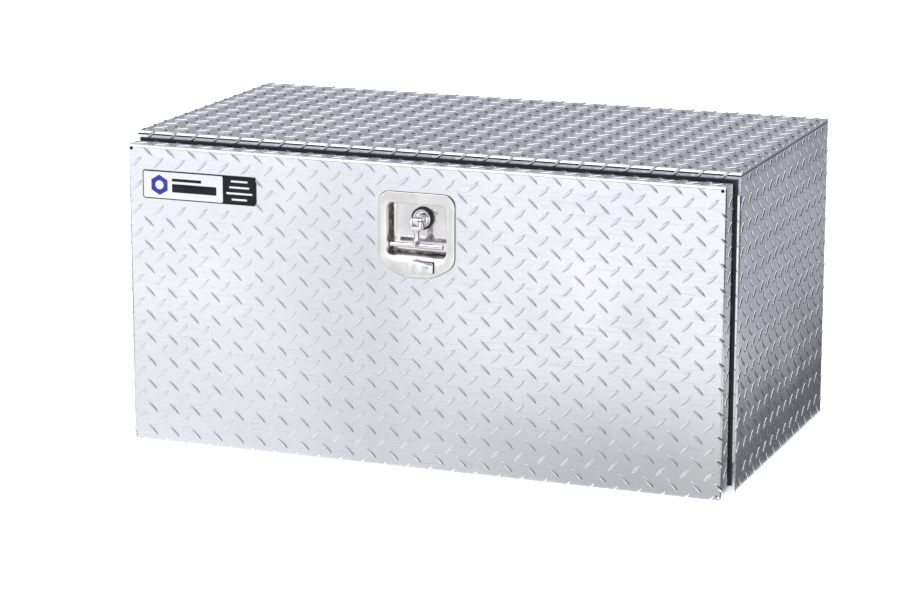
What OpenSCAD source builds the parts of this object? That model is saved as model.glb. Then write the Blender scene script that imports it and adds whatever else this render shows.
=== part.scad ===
// Truck tool box in tread plate: a welded body, a drop-down door with a folding
// T-handle latch, and two slotted stay arms. X is width, Y runs from front to back,
// Z is up. The origin is the middle of the underside. All sizes are in millimetres.

/* [Overall] */
// Width of the body
body_w = 914.4; // [500:0.1:1800]
// Height of the body
body_h = 457.2; // [350:0.1:800]
// Depth from the door's face to the back
overall_d = 508; // [400:0.1:800]
// Thickness of the body's plate
sheet_t = 3; // [1.5:0.1:5]
// Outer radius of the bends in the body's plate
bend_r = 5; // [5:0.5:12]

/* [Door] */
// Depth of the door, from its face to its inner panel's back
door_depth = 30; // [28:0.5:50]
// Thickness of the door's plate
door_t = 2; // [1:0.1:3]
// Gap between each end of the door and the side of the body
door_end_gap = 7; // [2:0.5:20]
// Drop from the top of the body to the top of the door
door_top_drop = 12; // [4:0.5:30]
// How far the door hangs below the hinge's axis
door_hang = 1.5; // [0:0.1:2]
// Opening angle of the door
door_swing = 84; // [30:1:88]
// Outer radius of the bends in the door's plate
door_bend_r = 4; // [3:0.5:10]
// Distance of each corner relief hole from the edges
relief_inset = 5; // [4:0.5:10]
// Radius of the corner relief holes
relief_r = 2.5; // [1:0.1:4]

/* [Weatherstrip] */
// Space between the door and the body
seal_gap = 16; // [14:0.5:24]
// Width of the weatherstrip
seal_w = 14; // [13:0.5:20]
// Radius of its bulb
seal_r = 6; // [3:0.1:6.5]
// Distance from the door's edge to the weatherstrip
seal_inset = 1; // [1:0.5:10]
// Width of flange left between the weatherstrip and the opening
seal_land = 4; // [1:0.5:15]

/* [Hinge] */
// Height of the hinge's axis above the underside
hinge_z = 6; // [5.5:0.1:15]
// Radius of the knuckles
knuckle_r = 3; // [2.5:0.1:5]
// Radius of the hinge pin
hinge_pin_r = 1.5; // [1:0.1:2.5]
// Number of knuckles
knuckles = 21; // [5:2:41]
// Distance from each end of the door to the hinge
hinge_inset = 10; // [5:1:60]
// Thickness of the hinge leaves
leaf_t = 1.5; // [1:0.1:2]
// Height of the body leaf's riser above the underside
riser_z = 30; // [22:1:60]
// Height of the door leaf above the axis
door_leaf_h = 30; // [15:1:60]
// Number of rivets in the body leaf
hinge_rivets_n = 9; // [3:1:20]

/* [Latch] */
// Drop from the top of the door to the handle's hub
hub_drop = 80; // [70:1:200]
// Width inside the latch dish
dish_w = 90; // [90:0.5:120]
// Height inside the dish above the hub
dish_up = 25; // [20:0.5:60]
// Height inside the dish below the hub
dish_down = 51; // [40:0.5:60]
// Depth of the dish from the face of its flange
dish_depth = 25; // [22:0.5:26]
// Thickness of the dish's plate
dish_t = 1.5; // [1:0.1:2]
// Inner radius of the dish's corners
dish_r = 7; // [2:0.5:15]
// Width of the flange beside the dish
flange_w = 13; // [11:0.5:20]
// Height of the flange above the dish
flange_up = 16; // [12:0.5:25]
// Height of the flange's sides below the dish
flange_down = 11; // [9:0.5:25]
// Height of the flange's middle below the dish
flange_bulge = 31; // [29:0.5:40]
// Half width of the flange's lower edge
bulge_half_w = 24; // [18:0.5:40]
// Radius of the flange's upper corners
flange_r = 16; // [2:0.5:16]
// Thickness of the rubber gasket
gasket_t = 1; // [0.5:0.1:2]
// Length of the cam arm above the hub
cam_l = 71; // [68:0.5:76]
// Width of the cam arm
cam_w = 20; // [14:0.5:24]
// Thickness of the cam arm
cam_t = 3; // [2:0.1:5]

/* [T-handle] */
// Length of the handle's bar
bar_l = 80; // [50:0.5:80]
// Radius of the bar
bar_r = 3.5; // [2.5:0.1:4]
// Distance from the pivot to the bar
stem_l = 35; // [24:0.5:36]
// Radius of the stem
stem_r = 4; // [3:0.1:4.5]
// Depth of the pivot behind the flange's face
pivot_depth = 2; // [1:0.1:8]
// Radius of the pivot pin
pivot_r = 2; // [1.5:0.1:3]

/* [Lock] */
// Drop from the hub to the lock
lock_drop = 65; // [60:0.5:66]
// Radius of the lock's barrel
lock_r = 8.5; // [7:0.1:9]
// Radius of the lock's plug
plug_r = 6; // [4:0.1:6.5]
// Length of the pawl
pawl_l = 10; // [6:0.5:10]
// Radius of the dust cover's disc
cover_r = 11; // [8:0.1:12]
// Distance from the lock to the dust cover's rivet
cover_arm = 16; // [14:0.5:20]

/* [Stays] */
// Distance of the stay's two pivots from the hinge's axis
stay_r = 200; // [120:1:260]
// Width of a stay arm
arm_w = 18; // [14:0.5:24]
// Thickness of a stay arm
arm_t = 4; // [2:0.5:6]
// Radius of the pin in the stay's slot
slide_pin_r = 4; // [2.5:0.1:5]
// Radius of the pin on the door
stay_pin_r = 3; // [2:0.1:5]

/* [Label] */
// Width of the label plate
label_w = 180; // [80:1:250]
// Height of the label plate
label_h = 42; // [20:1:80]
// Thickness of the label plate
label_t = 0.8; // [0.5:0.1:2]
// Distance from the end of the door to the label
label_inset = 23; // [10:1:60]
// Drop from the top of the door to the label
label_drop = 35; // [10:1:80]
// Radius of the label's corners
label_r = 4; // [1:0.5:10]

/* [Hidden] */
$fn = 48;
slack = 0.3;        // between pieces that move past each other
run = 0.05;         // radial clearance of a running pin
fit = 0.1;          // radial clearance of a fastener's hole
weld_leg = 4;
rivet_r = 2;

front_y = -overall_d / 2;
back_y = overall_d / 2;
door_back_y = front_y + door_depth;
body_front_y = door_back_y + seal_gap;
lip_back_y = body_front_y + sheet_t;

door_half_w = body_w / 2 - door_end_gap;
door_top_z = body_h - door_top_drop;
door_bottom_z = hinge_z - door_hang;

seal_half_w = door_half_w - seal_inset;
seal_top_z = door_top_z - seal_inset;
seal_bottom_z = riser_z + 2;
seal_base_t = seal_gap - slack - 2 * seal_r + 1;
opening_half_w = seal_half_w - seal_w - seal_land;
lip_z = seal_top_z - seal_w - seal_land;
sill_z = seal_bottom_z + seal_w + seal_land / 2;
jamb_w = body_w / 2 - opening_half_w;

hinge_gap = 0.4;
hinge_y = front_y + door_t + hinge_gap + knuckle_r;
hinge_half_l = door_half_w - hinge_inset;
knuckle_l = 2 * hinge_half_l / knuckles;
door_leaf_y = front_y + door_t;
liner_bottom_z = hinge_z + knuckle_r + 2;
liner_lip_y = door_leaf_y + leaf_t;

hub_z = door_top_z - hub_drop;
gasket_y = front_y - gasket_t;
flange_y = gasket_y - dish_t;
dish_floor_y = flange_y + dish_depth;
pivot_y = flange_y + pivot_depth;
eye_r = 5;
tongue_half_w = 4.2;
fork_in = tongue_half_w + 0.8;
fork_out = fork_in + 3.8;
fork_slot = 7.5;
fork_drop = 12;
hub_r = 13.6;
hub_t = 5.5;
hub_seal_r = 16.2;
hub_seal_t = 3;
shaft_r = 6;
thread_r = 4;
washer_t = 1.5;
ring_t = 1;
striker_t = 2;
cam_y = lip_back_y + striker_t + 0.5;
cam_nut_t = 5;
liner_hole_r = 9;
stud_r = 2.5;
stud_nut_t = 4;
stud_x = dish_w / 2 + dish_t + 5.5;
stud_top_z = hub_z + dish_up + 8;
stud_low_z = hub_z - dish_down - 2;

lock_z = hub_z - lock_drop;
bezel_t = 1.5;
bezel_r = lock_r + 1.5;
barrel_back_y = door_back_y - 12;
plug_back_y = door_back_y - 9;
pawl_t = 2;
cover_t = 1.5;
cover_back_y = flange_y - bezel_t - 0.5;
tab_h = 16;
tab_end = 10;
cover_rivet_r = 1.5;

slide_y = body_front_y + 18;
slide_z = hinge_z + sqrt(stay_r * stay_r - (slide_y - hinge_y) * (slide_y - hinge_y));
stay_y = door_back_y + arm_w / 2 + 3;
stay_z = hinge_z + sqrt(stay_r * stay_r - (stay_y - hinge_y) * (stay_y - hinge_y));
arm_angle = atan2(slide_z - stay_z, slide_y - stay_y);
rest_angle = atan2(slide_y - hinge_y, slide_z - hinge_z) - atan2(stay_y - hinge_y, stay_z - hinge_z);
slot_near = 2 * stay_r * sin(rest_angle / 2);
slot_far = 2 * stay_r * sin((rest_angle + door_swing) / 2);
slot_half_w = slide_pin_r + slack;
ear_t = 3;
ear_in = opening_half_w - 9;
ear_out = ear_in + ear_t;
arm_out = ear_in - 0.5;
arm_in = arm_out - arm_t;
head_out = arm_in - 0.5;
head_t = 3;

// A box from the low to the high value on each axis
module span_box(x, y, z) {
    translate([x[0], y[0], z[0]])
        cube([x[1] - x[0], y[1] - y[0], z[1] - z[0]]);
}

// A rod along X, and one along Y
module rod_x(r, x, y, z) {
    translate([x[0], y, z])
        rotate([0, 90, 0])
            cylinder(r = r, h = x[1] - x[0]);
}

module rod_y(r, x, y, z) {
    translate([x, y[0], z])
        rotate([-90, 0, 0])
            cylinder(r = r, h = y[1] - y[0]);
}

// An outline drawn in X and Z, given its thickness along Y
module plate_y(y) {
    translate([0, y[1], 0])
        rotate([90, 0, 0])
            linear_extrude(y[1] - y[0])
                children();
}

// A rectangle with its corner on the origin and only that corner rounded
module corner_block(size, r) {
    translate([r, 0])
        square([size[0] - r, size[1]]);
    translate([0, r])
        square([size[0], size[1] - r]);
    translate([r, r])
        circle(r = r);
}

// A bent sheet's section: two legs that meet in a bend on the origin
module bent_section(legs, t, r) {
    difference() {
        corner_block(legs, r);
        translate([t, t])
            corner_block(legs, r - t);
    }
}

// A rectangle with four round corners
module round_rectangle(size, r) {
    translate([r, 0])
        square([size[0] - 2 * r, size[1]]);
    translate([0, r])
        square([size[0], size[1] - 2 * r]);
    for (x = [r, size[0] - r], y = [r, size[1] - r]) {
        translate([x, y])
            circle(r = r);
    }
}

module both_ends() {
    children();
    mirror([1, 0, 0])
        children();
}

// A rivet along Y: a domed head in front of y[0] and a flat tail behind y[1]
module rivet_y(x, y, z, r) {
    rod_y(r, x, y, z);
    rod_y(1.7 * r, x, [y[1], y[1] + 0.6 * r], z);
    intersection() {
        translate([x, y[0] + 1.25 * r, z])
            sphere(r = 2.25 * r);
        rod_y(2 * r, x, [y[0] - 2 * r, y[0]], z);
    }
}

// --- Body -------------------------------------------------------------------

// A sheet along the whole width, bent up from y = body_front_y and z = 0
module front_bent_sheet(flange) {
    translate([-body_w / 2, body_front_y, 0])
        rotate([90, 0, 90])
            linear_extrude(body_w)
                bent_section([back_y - body_front_y, flange], sheet_t, bend_r);
}

module top_panel() {
    color("silver")
    translate([0, 0, body_h])
        mirror([0, 0, 1])
            front_bent_sheet(body_h - lip_z);
}

module floor_panel() {
    color("silver")
    difference() {
        front_bent_sheet(sill_z);
        hinge_rivet_rods(rivet_r + fit, [body_front_y - 1, lip_back_y + 1]);
    }
}

module back_panel() {
    color("silver")
    span_box([-body_w / 2, body_w / 2], [back_y - sheet_t, back_y], [sheet_t, body_h - sheet_t]);
}

module end_panel() {
    color("silver") {
        difference() {
            span_box([body_w / 2 - sheet_t, body_w / 2], [lip_back_y, back_y - sheet_t],
                [sheet_t, body_h - sheet_t]);
            span_box([body_w / 2 - sheet_t - 1, body_w / 2 + 1], [lip_back_y - 1, body_front_y + bend_r],
                [-1, body_h + 1]);
        }
        for (z = [[bend_r, sill_z], [lip_z, body_h - bend_r]]) {
            span_box([body_w / 2 - sheet_t, body_w / 2], [lip_back_y, body_front_y + bend_r], z);
        }
        translate([body_w / 2, body_front_y, sill_z])
            mirror([1, 0, 0])
                linear_extrude(lip_z - sill_z)
                    bent_section([jamb_w, bend_r + sheet_t], sheet_t, bend_r);
    }
}

// A fillet weld with its corner on the origin, along Z
module fillet(l) {
    linear_extrude(l)
        polygon([[0, 0], [weld_leg, 0], [0, weld_leg]]);
}

module seam_welds() {
    in_x = body_w / 2 - sheet_t;
    in_y = back_y - sheet_t;
    in_z = body_h - sheet_t;
    end_gap = 2 * weld_leg;
    run_x = 2 * (in_x - end_gap);
    run_y = in_y - lip_back_y - 2 * end_gap;
    color("gainsboro") {
        both_ends() {
            translate([in_x, in_y, sheet_t + end_gap])
                rotate([0, 0, 180])
                    fillet(in_z - sheet_t - 2 * end_gap);
            translate([in_x, in_y - end_gap, sheet_t])
                rotate([90, 0, 0])
                    mirror([1, 0, 0])
                        fillet(run_y);
            translate([in_x, in_y - end_gap, in_z])
                rotate([90, 0, 0])
                    rotate([0, 0, 180])
                        fillet(run_y);
        }
        translate([-run_x / 2, in_y, sheet_t])
            rotate([0, 90, 0])
                rotate([0, 0, 180])
                    fillet(run_x);
        translate([-run_x / 2, in_y, in_z])
            rotate([0, 90, 0])
                mirror([0, 1, 0])
                    fillet(run_x);
    }
}

module striker_plate() {
    color("lightgray")
    span_box([-30, 30], [lip_back_y, lip_back_y + striker_t], [lip_z + 1, body_h - bend_r - 1]);
}

module weatherstrip() {
    bulb_y = door_back_y + slack + seal_r;
    bulb_x = seal_half_w - seal_w / 2;
    bulb_top = seal_top_z - seal_w / 2;
    bulb_bottom = seal_bottom_z + seal_w / 2;
    base_y = body_front_y - seal_base_t;
    color([0.07, 0.07, 0.08]) {
        difference() {
            span_box([-seal_half_w, seal_half_w], [base_y, body_front_y], [seal_bottom_z, seal_top_z]);
            span_box([-seal_half_w + seal_w, seal_half_w - seal_w], [base_y - 1, body_front_y + 1],
                [seal_bottom_z + seal_w, seal_top_z - seal_w]);
        }
        for (z = [bulb_bottom, bulb_top]) {
            rod_x(seal_r, [-bulb_x, bulb_x], bulb_y, z);
        }
        both_ends() {
            translate([bulb_x, bulb_y, bulb_bottom])
                cylinder(r = seal_r, h = bulb_top - bulb_bottom);
            for (z = [bulb_bottom, bulb_top]) {
                translate([bulb_x, bulb_y, z])
                    sphere(r = seal_r);
            }
        }
    }
}

// --- Hinge ------------------------------------------------------------------

function knuckle_x(i) = -hinge_half_l + i * knuckle_l;

// Every second knuckle, from the first one on, each trimmed by a gap at both ends
module knuckle_rods(first, r, gap) {
    for (i = [first : 2 : knuckles - 1]) {
        rod_x(r, [knuckle_x(i) + gap, knuckle_x(i + 1) - gap], hinge_y, hinge_z);
    }
}

module hinge_rivet_rods(r, y) {
    pitch = 2 * (hinge_half_l - 30) / (hinge_rivets_n - 1);
    for (i = [0 : hinge_rivets_n - 1]) {
        rod_y(r, -hinge_half_l + 30 + i * pitch, y, (riser_z + hinge_z) / 2 + 1);
    }
}

module hinge_body_leaf() {
    low_z = hinge_z - knuckle_r;
    color("lightsteelblue")
    difference() {
        union() {
            knuckle_rods(0, knuckle_r, slack / 2);
            span_box([-hinge_half_l, hinge_half_l], [hinge_y, body_front_y], [low_z, low_z + leaf_t]);
            span_box([-hinge_half_l, hinge_half_l], [body_front_y - leaf_t, body_front_y],
                [low_z, riser_z]);
        }
        knuckle_rods(1, knuckle_r + hinge_gap, -slack / 2);
        rod_x(hinge_pin_r + run, [-hinge_half_l - 1, hinge_half_l + 1], hinge_y, hinge_z);
        hinge_rivet_rods(rivet_r + fit, [body_front_y - leaf_t - 1, body_front_y + 1]);
    }
}

module hinge_door_leaf() {
    color("lightsteelblue")
    difference() {
        union() {
            knuckle_rods(1, knuckle_r, slack / 2);
            span_box([-hinge_half_l, hinge_half_l], [door_leaf_y, door_leaf_y + leaf_t],
                [hinge_z, hinge_z + door_leaf_h]);
        }
        knuckle_rods(0, knuckle_r + hinge_gap, -slack / 2);
        rod_x(hinge_pin_r + run, [-hinge_half_l - 1, hinge_half_l + 1], hinge_y, hinge_z);
    }
}

module hinge_pin() {
    color("gray")
    rod_x(hinge_pin_r, [-hinge_half_l, hinge_half_l], hinge_y, hinge_z);
}

module hinge_rivets() {
    pitch = 2 * (hinge_half_l - 30) / (hinge_rivets_n - 1);
    color("silver")
    for (i = [0 : hinge_rivets_n - 1]) {
        rivet_y(-hinge_half_l + 30 + i * pitch, [body_front_y - leaf_t, lip_back_y],
            (riser_z + hinge_z) / 2 + 1, rivet_r);
    }
}

// --- Door -------------------------------------------------------------------

// The door's outer form, shrunk by a margin, with its bends at the top and the ends
module door_pan(margin, r) {
    half_w = door_half_w - margin;
    y = front_y + margin;
    depth = door_depth - margin + (margin > 0 ? 1 : 0);
    bottom = door_bottom_z - (margin > 0 ? 1 : 0);
    top = door_top_z - margin;
    intersection() {
        translate([0, y, bottom])
            linear_extrude(top - bottom)
                both_ends()
                    translate([-half_w, 0])
                        corner_block([half_w + 1, depth], r);
        translate([-half_w, y, top])
            rotate([90, 0, 90])
                linear_extrude(2 * half_w)
                    mirror([0, 1])
                        corner_block([depth, top - bottom], r);
    }
}

module door_outer_panel() {
    color("gainsboro")
    difference() {
        door_pan(0, door_bend_r);
        door_pan(door_t, door_bend_r - door_t);
        latch_holes([front_y - 1, front_y + door_t + 1]);
        both_ends() {
            for (z = [door_bottom_z + relief_inset, door_top_z - relief_inset]) {
                rod_y(relief_r, door_half_w - relief_inset, [front_y - 1, front_y + door_t + 1], z);
            }
        }
    }
}

module door_inner_panel() {
    half_w = door_half_w - door_t;
    lip_half_w = door_half_w - door_bend_r;
    x = [-half_w, half_w];
    lip_x = [-lip_half_w, lip_half_w];
    color("silver")
    difference() {
        union() {
            span_box(x, [door_back_y - door_t, door_back_y], [liner_bottom_z, door_top_z - door_t]);
            span_box(lip_x, [liner_lip_y, door_back_y], [liner_bottom_z, liner_bottom_z + door_t]);
            span_box(lip_x, [liner_lip_y, liner_lip_y + door_t],
                [liner_bottom_z, hinge_z + door_leaf_h]);
        }
        rod_y(liner_hole_r, 0, [door_back_y - door_t - 1, door_back_y + 1], hub_z);
        both_ends() {
            stay_rivet_rods(rivet_r + fit, [door_back_y - door_t - 1, door_back_y + 1]);
        }
    }
}

module label_plate() {
    x = -door_half_w + label_inset;
    z = door_top_z - label_drop;
    color("white")
    plate_y([front_y - label_t, front_y])
        translate([x, z - label_h])
            round_rectangle([label_w, label_h], label_r);
}

// --- Latch ------------------------------------------------------------------

// The part of the dish that sinks into the door, with a margin on every side
module dish_outline(margin) {
    translate([-dish_w / 2 - margin, hub_z - dish_down - margin])
        round_rectangle([dish_w + 2 * margin, dish_up + dish_down + 2 * margin], dish_r + margin);
}

module flange_outline() {
    half_w = dish_w / 2 + flange_w;
    top = hub_z + dish_up + flange_up;
    low = hub_z - dish_down - flange_down;
    translate([-half_w + flange_r, top - flange_r])
        square([2 * (half_w - flange_r), flange_r]);
    for (x = [-half_w + flange_r, half_w - flange_r]) {
        translate([x, top - flange_r])
            circle(r = flange_r);
    }
    polygon([
        [-half_w, top - flange_r], [-half_w, low],
        [-bulge_half_w, hub_z - dish_down - flange_bulge],
        [bulge_half_w, hub_z - dish_down - flange_bulge],
        [half_w, low], [half_w, top - flange_r]
    ]);
}

module stud_rods(r, y) {
    for (x = [-stud_x, stud_x], z = [stud_low_z, stud_top_z]) {
        rod_y(r, x, y, z);
    }
}

// What the door and the gasket leave out for the dish, its studs and the lock
module latch_holes(y) {
    plate_y(y)
        dish_outline(dish_t + slack);
    stud_rods(stud_r + fit, y);
    rod_y(lock_r + fit, 0, y, lock_z);
}

module latch_gasket() {
    color([0.08, 0.08, 0.08])
    difference() {
        plate_y([gasket_y, front_y])
            flange_outline();
        latch_holes([gasket_y - 1, front_y + 1]);
    }
}

module latch_dish() {
    color("whitesmoke")
    difference() {
        union() {
            plate_y([flange_y, gasket_y])
                flange_outline();
            plate_y([gasket_y, dish_floor_y + dish_t])
                dish_outline(dish_t);
        }
        plate_y([flange_y - 1, dish_floor_y])
            dish_outline(0);
        rod_y(shaft_r + run, 0, [dish_floor_y - 1, dish_floor_y + dish_t + 1], hub_z);
        rod_y(lock_r + fit, 0, [flange_y - 1, gasket_y + 1], lock_z);
    }
}

module latch_studs() {
    color("silver")
    stud_rods(stud_r, [gasket_y, front_y + door_t + stud_nut_t + 3]);
}

module hex_nut_y(r, bore, x, y, z) {
    difference() {
        translate([x, y[0], z])
            rotate([-90, 0, 0])
                cylinder(r = r, h = y[1] - y[0], $fn = 6);
        rod_y(bore, x, [y[0] - 1, y[1] + 1], z);
    }
}

module latch_nuts() {
    color("silver")
    for (x = [-stud_x, stud_x], z = [stud_low_z, stud_top_z]) {
        hex_nut_y(1.8 * stud_r, stud_r, x, [front_y + door_t, front_y + door_t + stud_nut_t], z);
    }
}

module latch_hub() {
    color("silver")
    difference() {
        union() {
            rod_y(hub_r, 0, [dish_floor_y - hub_t, dish_floor_y - hub_seal_t], hub_z);
            rod_y(shaft_r, 0, [dish_floor_y - hub_t + 1, cam_y], hub_z);
            rod_y(thread_r, 0, [cam_y - 1, cam_y + cam_t + cam_nut_t + 2], hub_z);
            span_box([-tongue_half_w, tongue_half_w], [pivot_y, dish_floor_y - hub_t + 1],
                [hub_z - eye_r, hub_z + eye_r]);
            rod_x(eye_r, [-tongue_half_w, tongue_half_w], pivot_y, hub_z);
        }
        rod_x(pivot_r, [-tongue_half_w - 1, tongue_half_w + 1], pivot_y, hub_z);
        rod_y(shaft_r + fit, 0,
            [dish_floor_y + dish_t + washer_t, dish_floor_y + dish_t + washer_t + ring_t], hub_z);
    }
    color("silver")
    rod_y(shaft_r - 1, 0,
        [dish_floor_y + dish_t + washer_t - 1, dish_floor_y + dish_t + washer_t + ring_t + 1], hub_z);
}

module hub_seal() {
    color([0.08, 0.08, 0.08])
    difference() {
        rod_y(hub_seal_r, 0, [dish_floor_y - hub_seal_t, dish_floor_y], hub_z);
        rod_y(shaft_r + run, 0, [dish_floor_y - hub_seal_t - 1, dish_floor_y + 1], hub_z);
    }
}

module latch_washer() {
    y = dish_floor_y + dish_t;
    color("gray")
    difference() {
        rod_y(shaft_r + 4, 0, [y, y + washer_t], hub_z);
        rod_y(shaft_r + fit, 0, [y - 1, y + washer_t + 1], hub_z);
    }
}

module latch_circlip() {
    y = dish_floor_y + dish_t + washer_t;
    color("dimgray")
    difference() {
        rod_y(shaft_r + 2, 0, [y, y + ring_t], hub_z);
        rod_y(shaft_r - 1, 0, [y - 1, y + ring_t + 1], hub_z);
        span_box([-2, 2], [y - 1, y + ring_t + 1], [hub_z - shaft_r - 4, hub_z]);
    }
}

module cam_arm() {
    color("silver")
    difference() {
        union() {
            rod_y(cam_w / 2 + 2, 0, [cam_y, cam_y + cam_t], hub_z);
            rod_y(cam_w / 2, 0, [cam_y, cam_y + cam_t], hub_z + cam_l - cam_w / 2);
            span_box([-cam_w / 2, cam_w / 2], [cam_y, cam_y + cam_t],
                [hub_z, hub_z + cam_l - cam_w / 2]);
        }
        rod_y(thread_r, 0, [cam_y - 1, cam_y + cam_t + 1], hub_z);
    }
}

module cam_nut() {
    color("silver")
    hex_nut_y(1.8 * thread_r, thread_r, 0, [cam_y + cam_t, cam_y + cam_t + cam_nut_t], hub_z);
}

module handle_pin() {
    color("gray")
    rod_x(pivot_r, [-fork_out, fork_out], pivot_y, hub_z);
}

module t_handle() {
    bar_z = hub_z - stem_l;
    bar_half = bar_l / 2 - bar_r;
    fork_y = [pivot_y - eye_r, pivot_y + eye_r];
    color("whitesmoke")
    difference() {
        union() {
            both_ends() {
                rod_x(eye_r, [fork_in, fork_out], pivot_y, hub_z);
                span_box([fork_in, fork_out], fork_y, [hub_z - fork_drop, hub_z]);
            }
            span_box([-fork_out, fork_out], fork_y, [hub_z - fork_drop, hub_z - fork_slot]);
            translate([0, pivot_y, bar_z])
                cylinder(r = stem_r, h = stem_l - fork_slot - 1);
            rod_x(bar_r, [-bar_half, bar_half], pivot_y, bar_z);
            for (x = [-bar_half, bar_half]) {
                translate([x, pivot_y, bar_z])
                    sphere(r = bar_r);
            }
        }
        rod_x(pivot_r + run, [-fork_out - 1, fork_out + 1], pivot_y, hub_z);
    }
}

// --- Lock -------------------------------------------------------------------

module lock_cylinder() {
    color("silver")
    difference() {
        union() {
            rod_y(bezel_r, 0, [flange_y - bezel_t, flange_y], lock_z);
            rod_y(lock_r, 0, [flange_y - 0.5, barrel_back_y], lock_z);
        }
        rod_y(plug_r + run, 0, [flange_y - bezel_t - 1, barrel_back_y + 1], lock_z);
    }
}

module lock_nut() {
    y = front_y + door_t;
    color("silver")
    hex_nut_y(1.4 * lock_r, lock_r, 0, [y, y + 3], lock_z);
}

module lock_plug() {
    color("goldenrod")
    difference() {
        rod_y(plug_r, 0, [flange_y - bezel_t + slack, plug_back_y], lock_z);
        span_box([-0.7, 0.7], [flange_y - bezel_t, flange_y + 4], [lock_z - 4, lock_z + 4]);
        rod_y(1.5, 0, [plug_back_y - 3, plug_back_y + 1], lock_z);
    }
}

module lock_pawl() {
    y = [plug_back_y, plug_back_y + pawl_t];
    color("silver")
    difference() {
        union() {
            rod_y(plug_r, 0, y, lock_z);
            span_box([0, pawl_l], y, [lock_z - 3, lock_z + 3]);
        }
        rod_y(1.5 + fit, 0, [y[0] - 1, y[1] + 1], lock_z);
    }
}

module pawl_screw() {
    y = plug_back_y + pawl_t;
    color("gray") {
        rod_y(1.5, 0, [plug_back_y - 3, y], lock_z);
        rod_y(3, 0, [y, y + 1.5], lock_z);
    }
}

module dust_cover() {
    y = [cover_back_y - cover_t, cover_back_y];
    color("whitesmoke")
    difference() {
        union() {
            rod_y(cover_r, 0, y, lock_z);
            span_box([0, cover_arm + tab_end], y, [lock_z - tab_h / 2, lock_z + tab_h / 2]);
        }
        rod_y(cover_rivet_r + fit, cover_arm, [y[0] - 1, y[1] + 1], lock_z);
    }
}

module dust_cover_rivet() {
    head_y = cover_back_y - cover_t - slack;
    color("silver") {
        rod_y(cover_rivet_r, cover_arm, [head_y, flange_y], lock_z);
        rod_y(2 * cover_rivet_r, cover_arm, [cover_back_y + slack, flange_y], lock_z);
        rod_y(2 * cover_rivet_r, cover_arm, [head_y - 1.2, head_y], lock_z);
    }
}

// --- Stays ------------------------------------------------------------------

module stay_body_bracket() {
    web_y = slide_y + 19;
    in_x = body_w / 2 - sheet_t;
    z = [slide_z - 12, slide_z + 12];
    difference() {
        union() {
            span_box([ear_in, ear_out], [slide_y - 8, web_y + ear_t], z);
            span_box([ear_in, in_x], [web_y, web_y + ear_t], z);
            span_box([in_x - ear_t, in_x], [web_y, web_y + 25], z);
        }
        rod_x(slide_pin_r, [ear_in - 1, ear_out + 1], slide_y, slide_z);
    }
}

module stay_body_brackets() {
    color("silver")
    both_ends() stay_body_bracket();
}

module stay_body_pins() {
    color("gray")
    both_ends() {
        rod_x(slide_pin_r, [head_out, ear_out + 5], slide_y, slide_z);
        rod_x(slide_pin_r + 3, [head_out - head_t, head_out], slide_y, slide_z);
    }
}

module stay_body_nuts() {
    color("silver")
    both_ends() {
        difference() {
            translate([ear_out, slide_y, slide_z])
                rotate([0, 90, 0])
                    cylinder(r = 1.8 * slide_pin_r, h = 4, $fn = 6);
            rod_x(slide_pin_r, [ear_out - 1, ear_out + 5], slide_y, slide_z);
        }
    }
}

module stay_rivet_rods(r, y) {
    for (z = [stay_z - 14, stay_z + 14]) {
        rod_y(r, ear_out + 4, y, z);
    }
}

module stay_door_brackets() {
    base_y = [door_back_y, door_back_y + 2];
    color("silver")
    both_ends() {
        difference() {
            union() {
                span_box([ear_in, ear_out], [door_back_y, stay_y], [stay_z - 8, stay_z + 8]);
                rod_x(8, [ear_in, ear_out], stay_y, stay_z);
                span_box([ear_in, ear_out + 8], base_y, [stay_z - 20, stay_z + 20]);
            }
            rod_x(stay_pin_r, [ear_in - 1, ear_out + 1], stay_y, stay_z);
            stay_rivet_rods(rivet_r + fit, [base_y[0] - 1, base_y[1] + 1]);
        }
    }
}

module stay_door_rivets() {
    color("silver")
    both_ends() {
        for (z = [stay_z - 14, stay_z + 14]) {
            rivet_y(ear_out + 4, [door_back_y - door_t, door_back_y + 2], z, rivet_r);
        }
    }
}

module stay_door_pins() {
    color("gray")
    both_ends() {
        rod_x(stay_pin_r, [head_out, ear_out], stay_y, stay_z);
        rod_x(stay_pin_r + 3, [head_out - head_t, head_out], stay_y, stay_z);
        rod_x(stay_pin_r + 2, [ear_out, ear_out + 2], stay_y, stay_z);
    }
}

// The arm lies along its own Y from the door's pin, then is turned to the body's pin
module stay_arm() {
    far = slot_far + slide_pin_r + slack;
    translate([arm_in, stay_y, stay_z])
        rotate([arm_angle, 0, 0])
            difference() {
                union() {
                    rod_x(arm_w / 2, [0, arm_t], 0, 0);
                    rod_x(arm_w / 2, [0, arm_t], far, 0);
                    span_box([0, arm_t], [0, far], [-arm_w / 2, arm_w / 2]);
                }
                rod_x(stay_pin_r + run, [-1, arm_t + 1], 0, 0);
                rod_x(slot_half_w, [-1, arm_t + 1], slot_near, 0);
                rod_x(slot_half_w, [-1, arm_t + 1], slot_far, 0);
                span_box([-1, arm_t + 1], [slot_near, slot_far], [-slot_half_w, slot_half_w]);
            }
}

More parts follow.
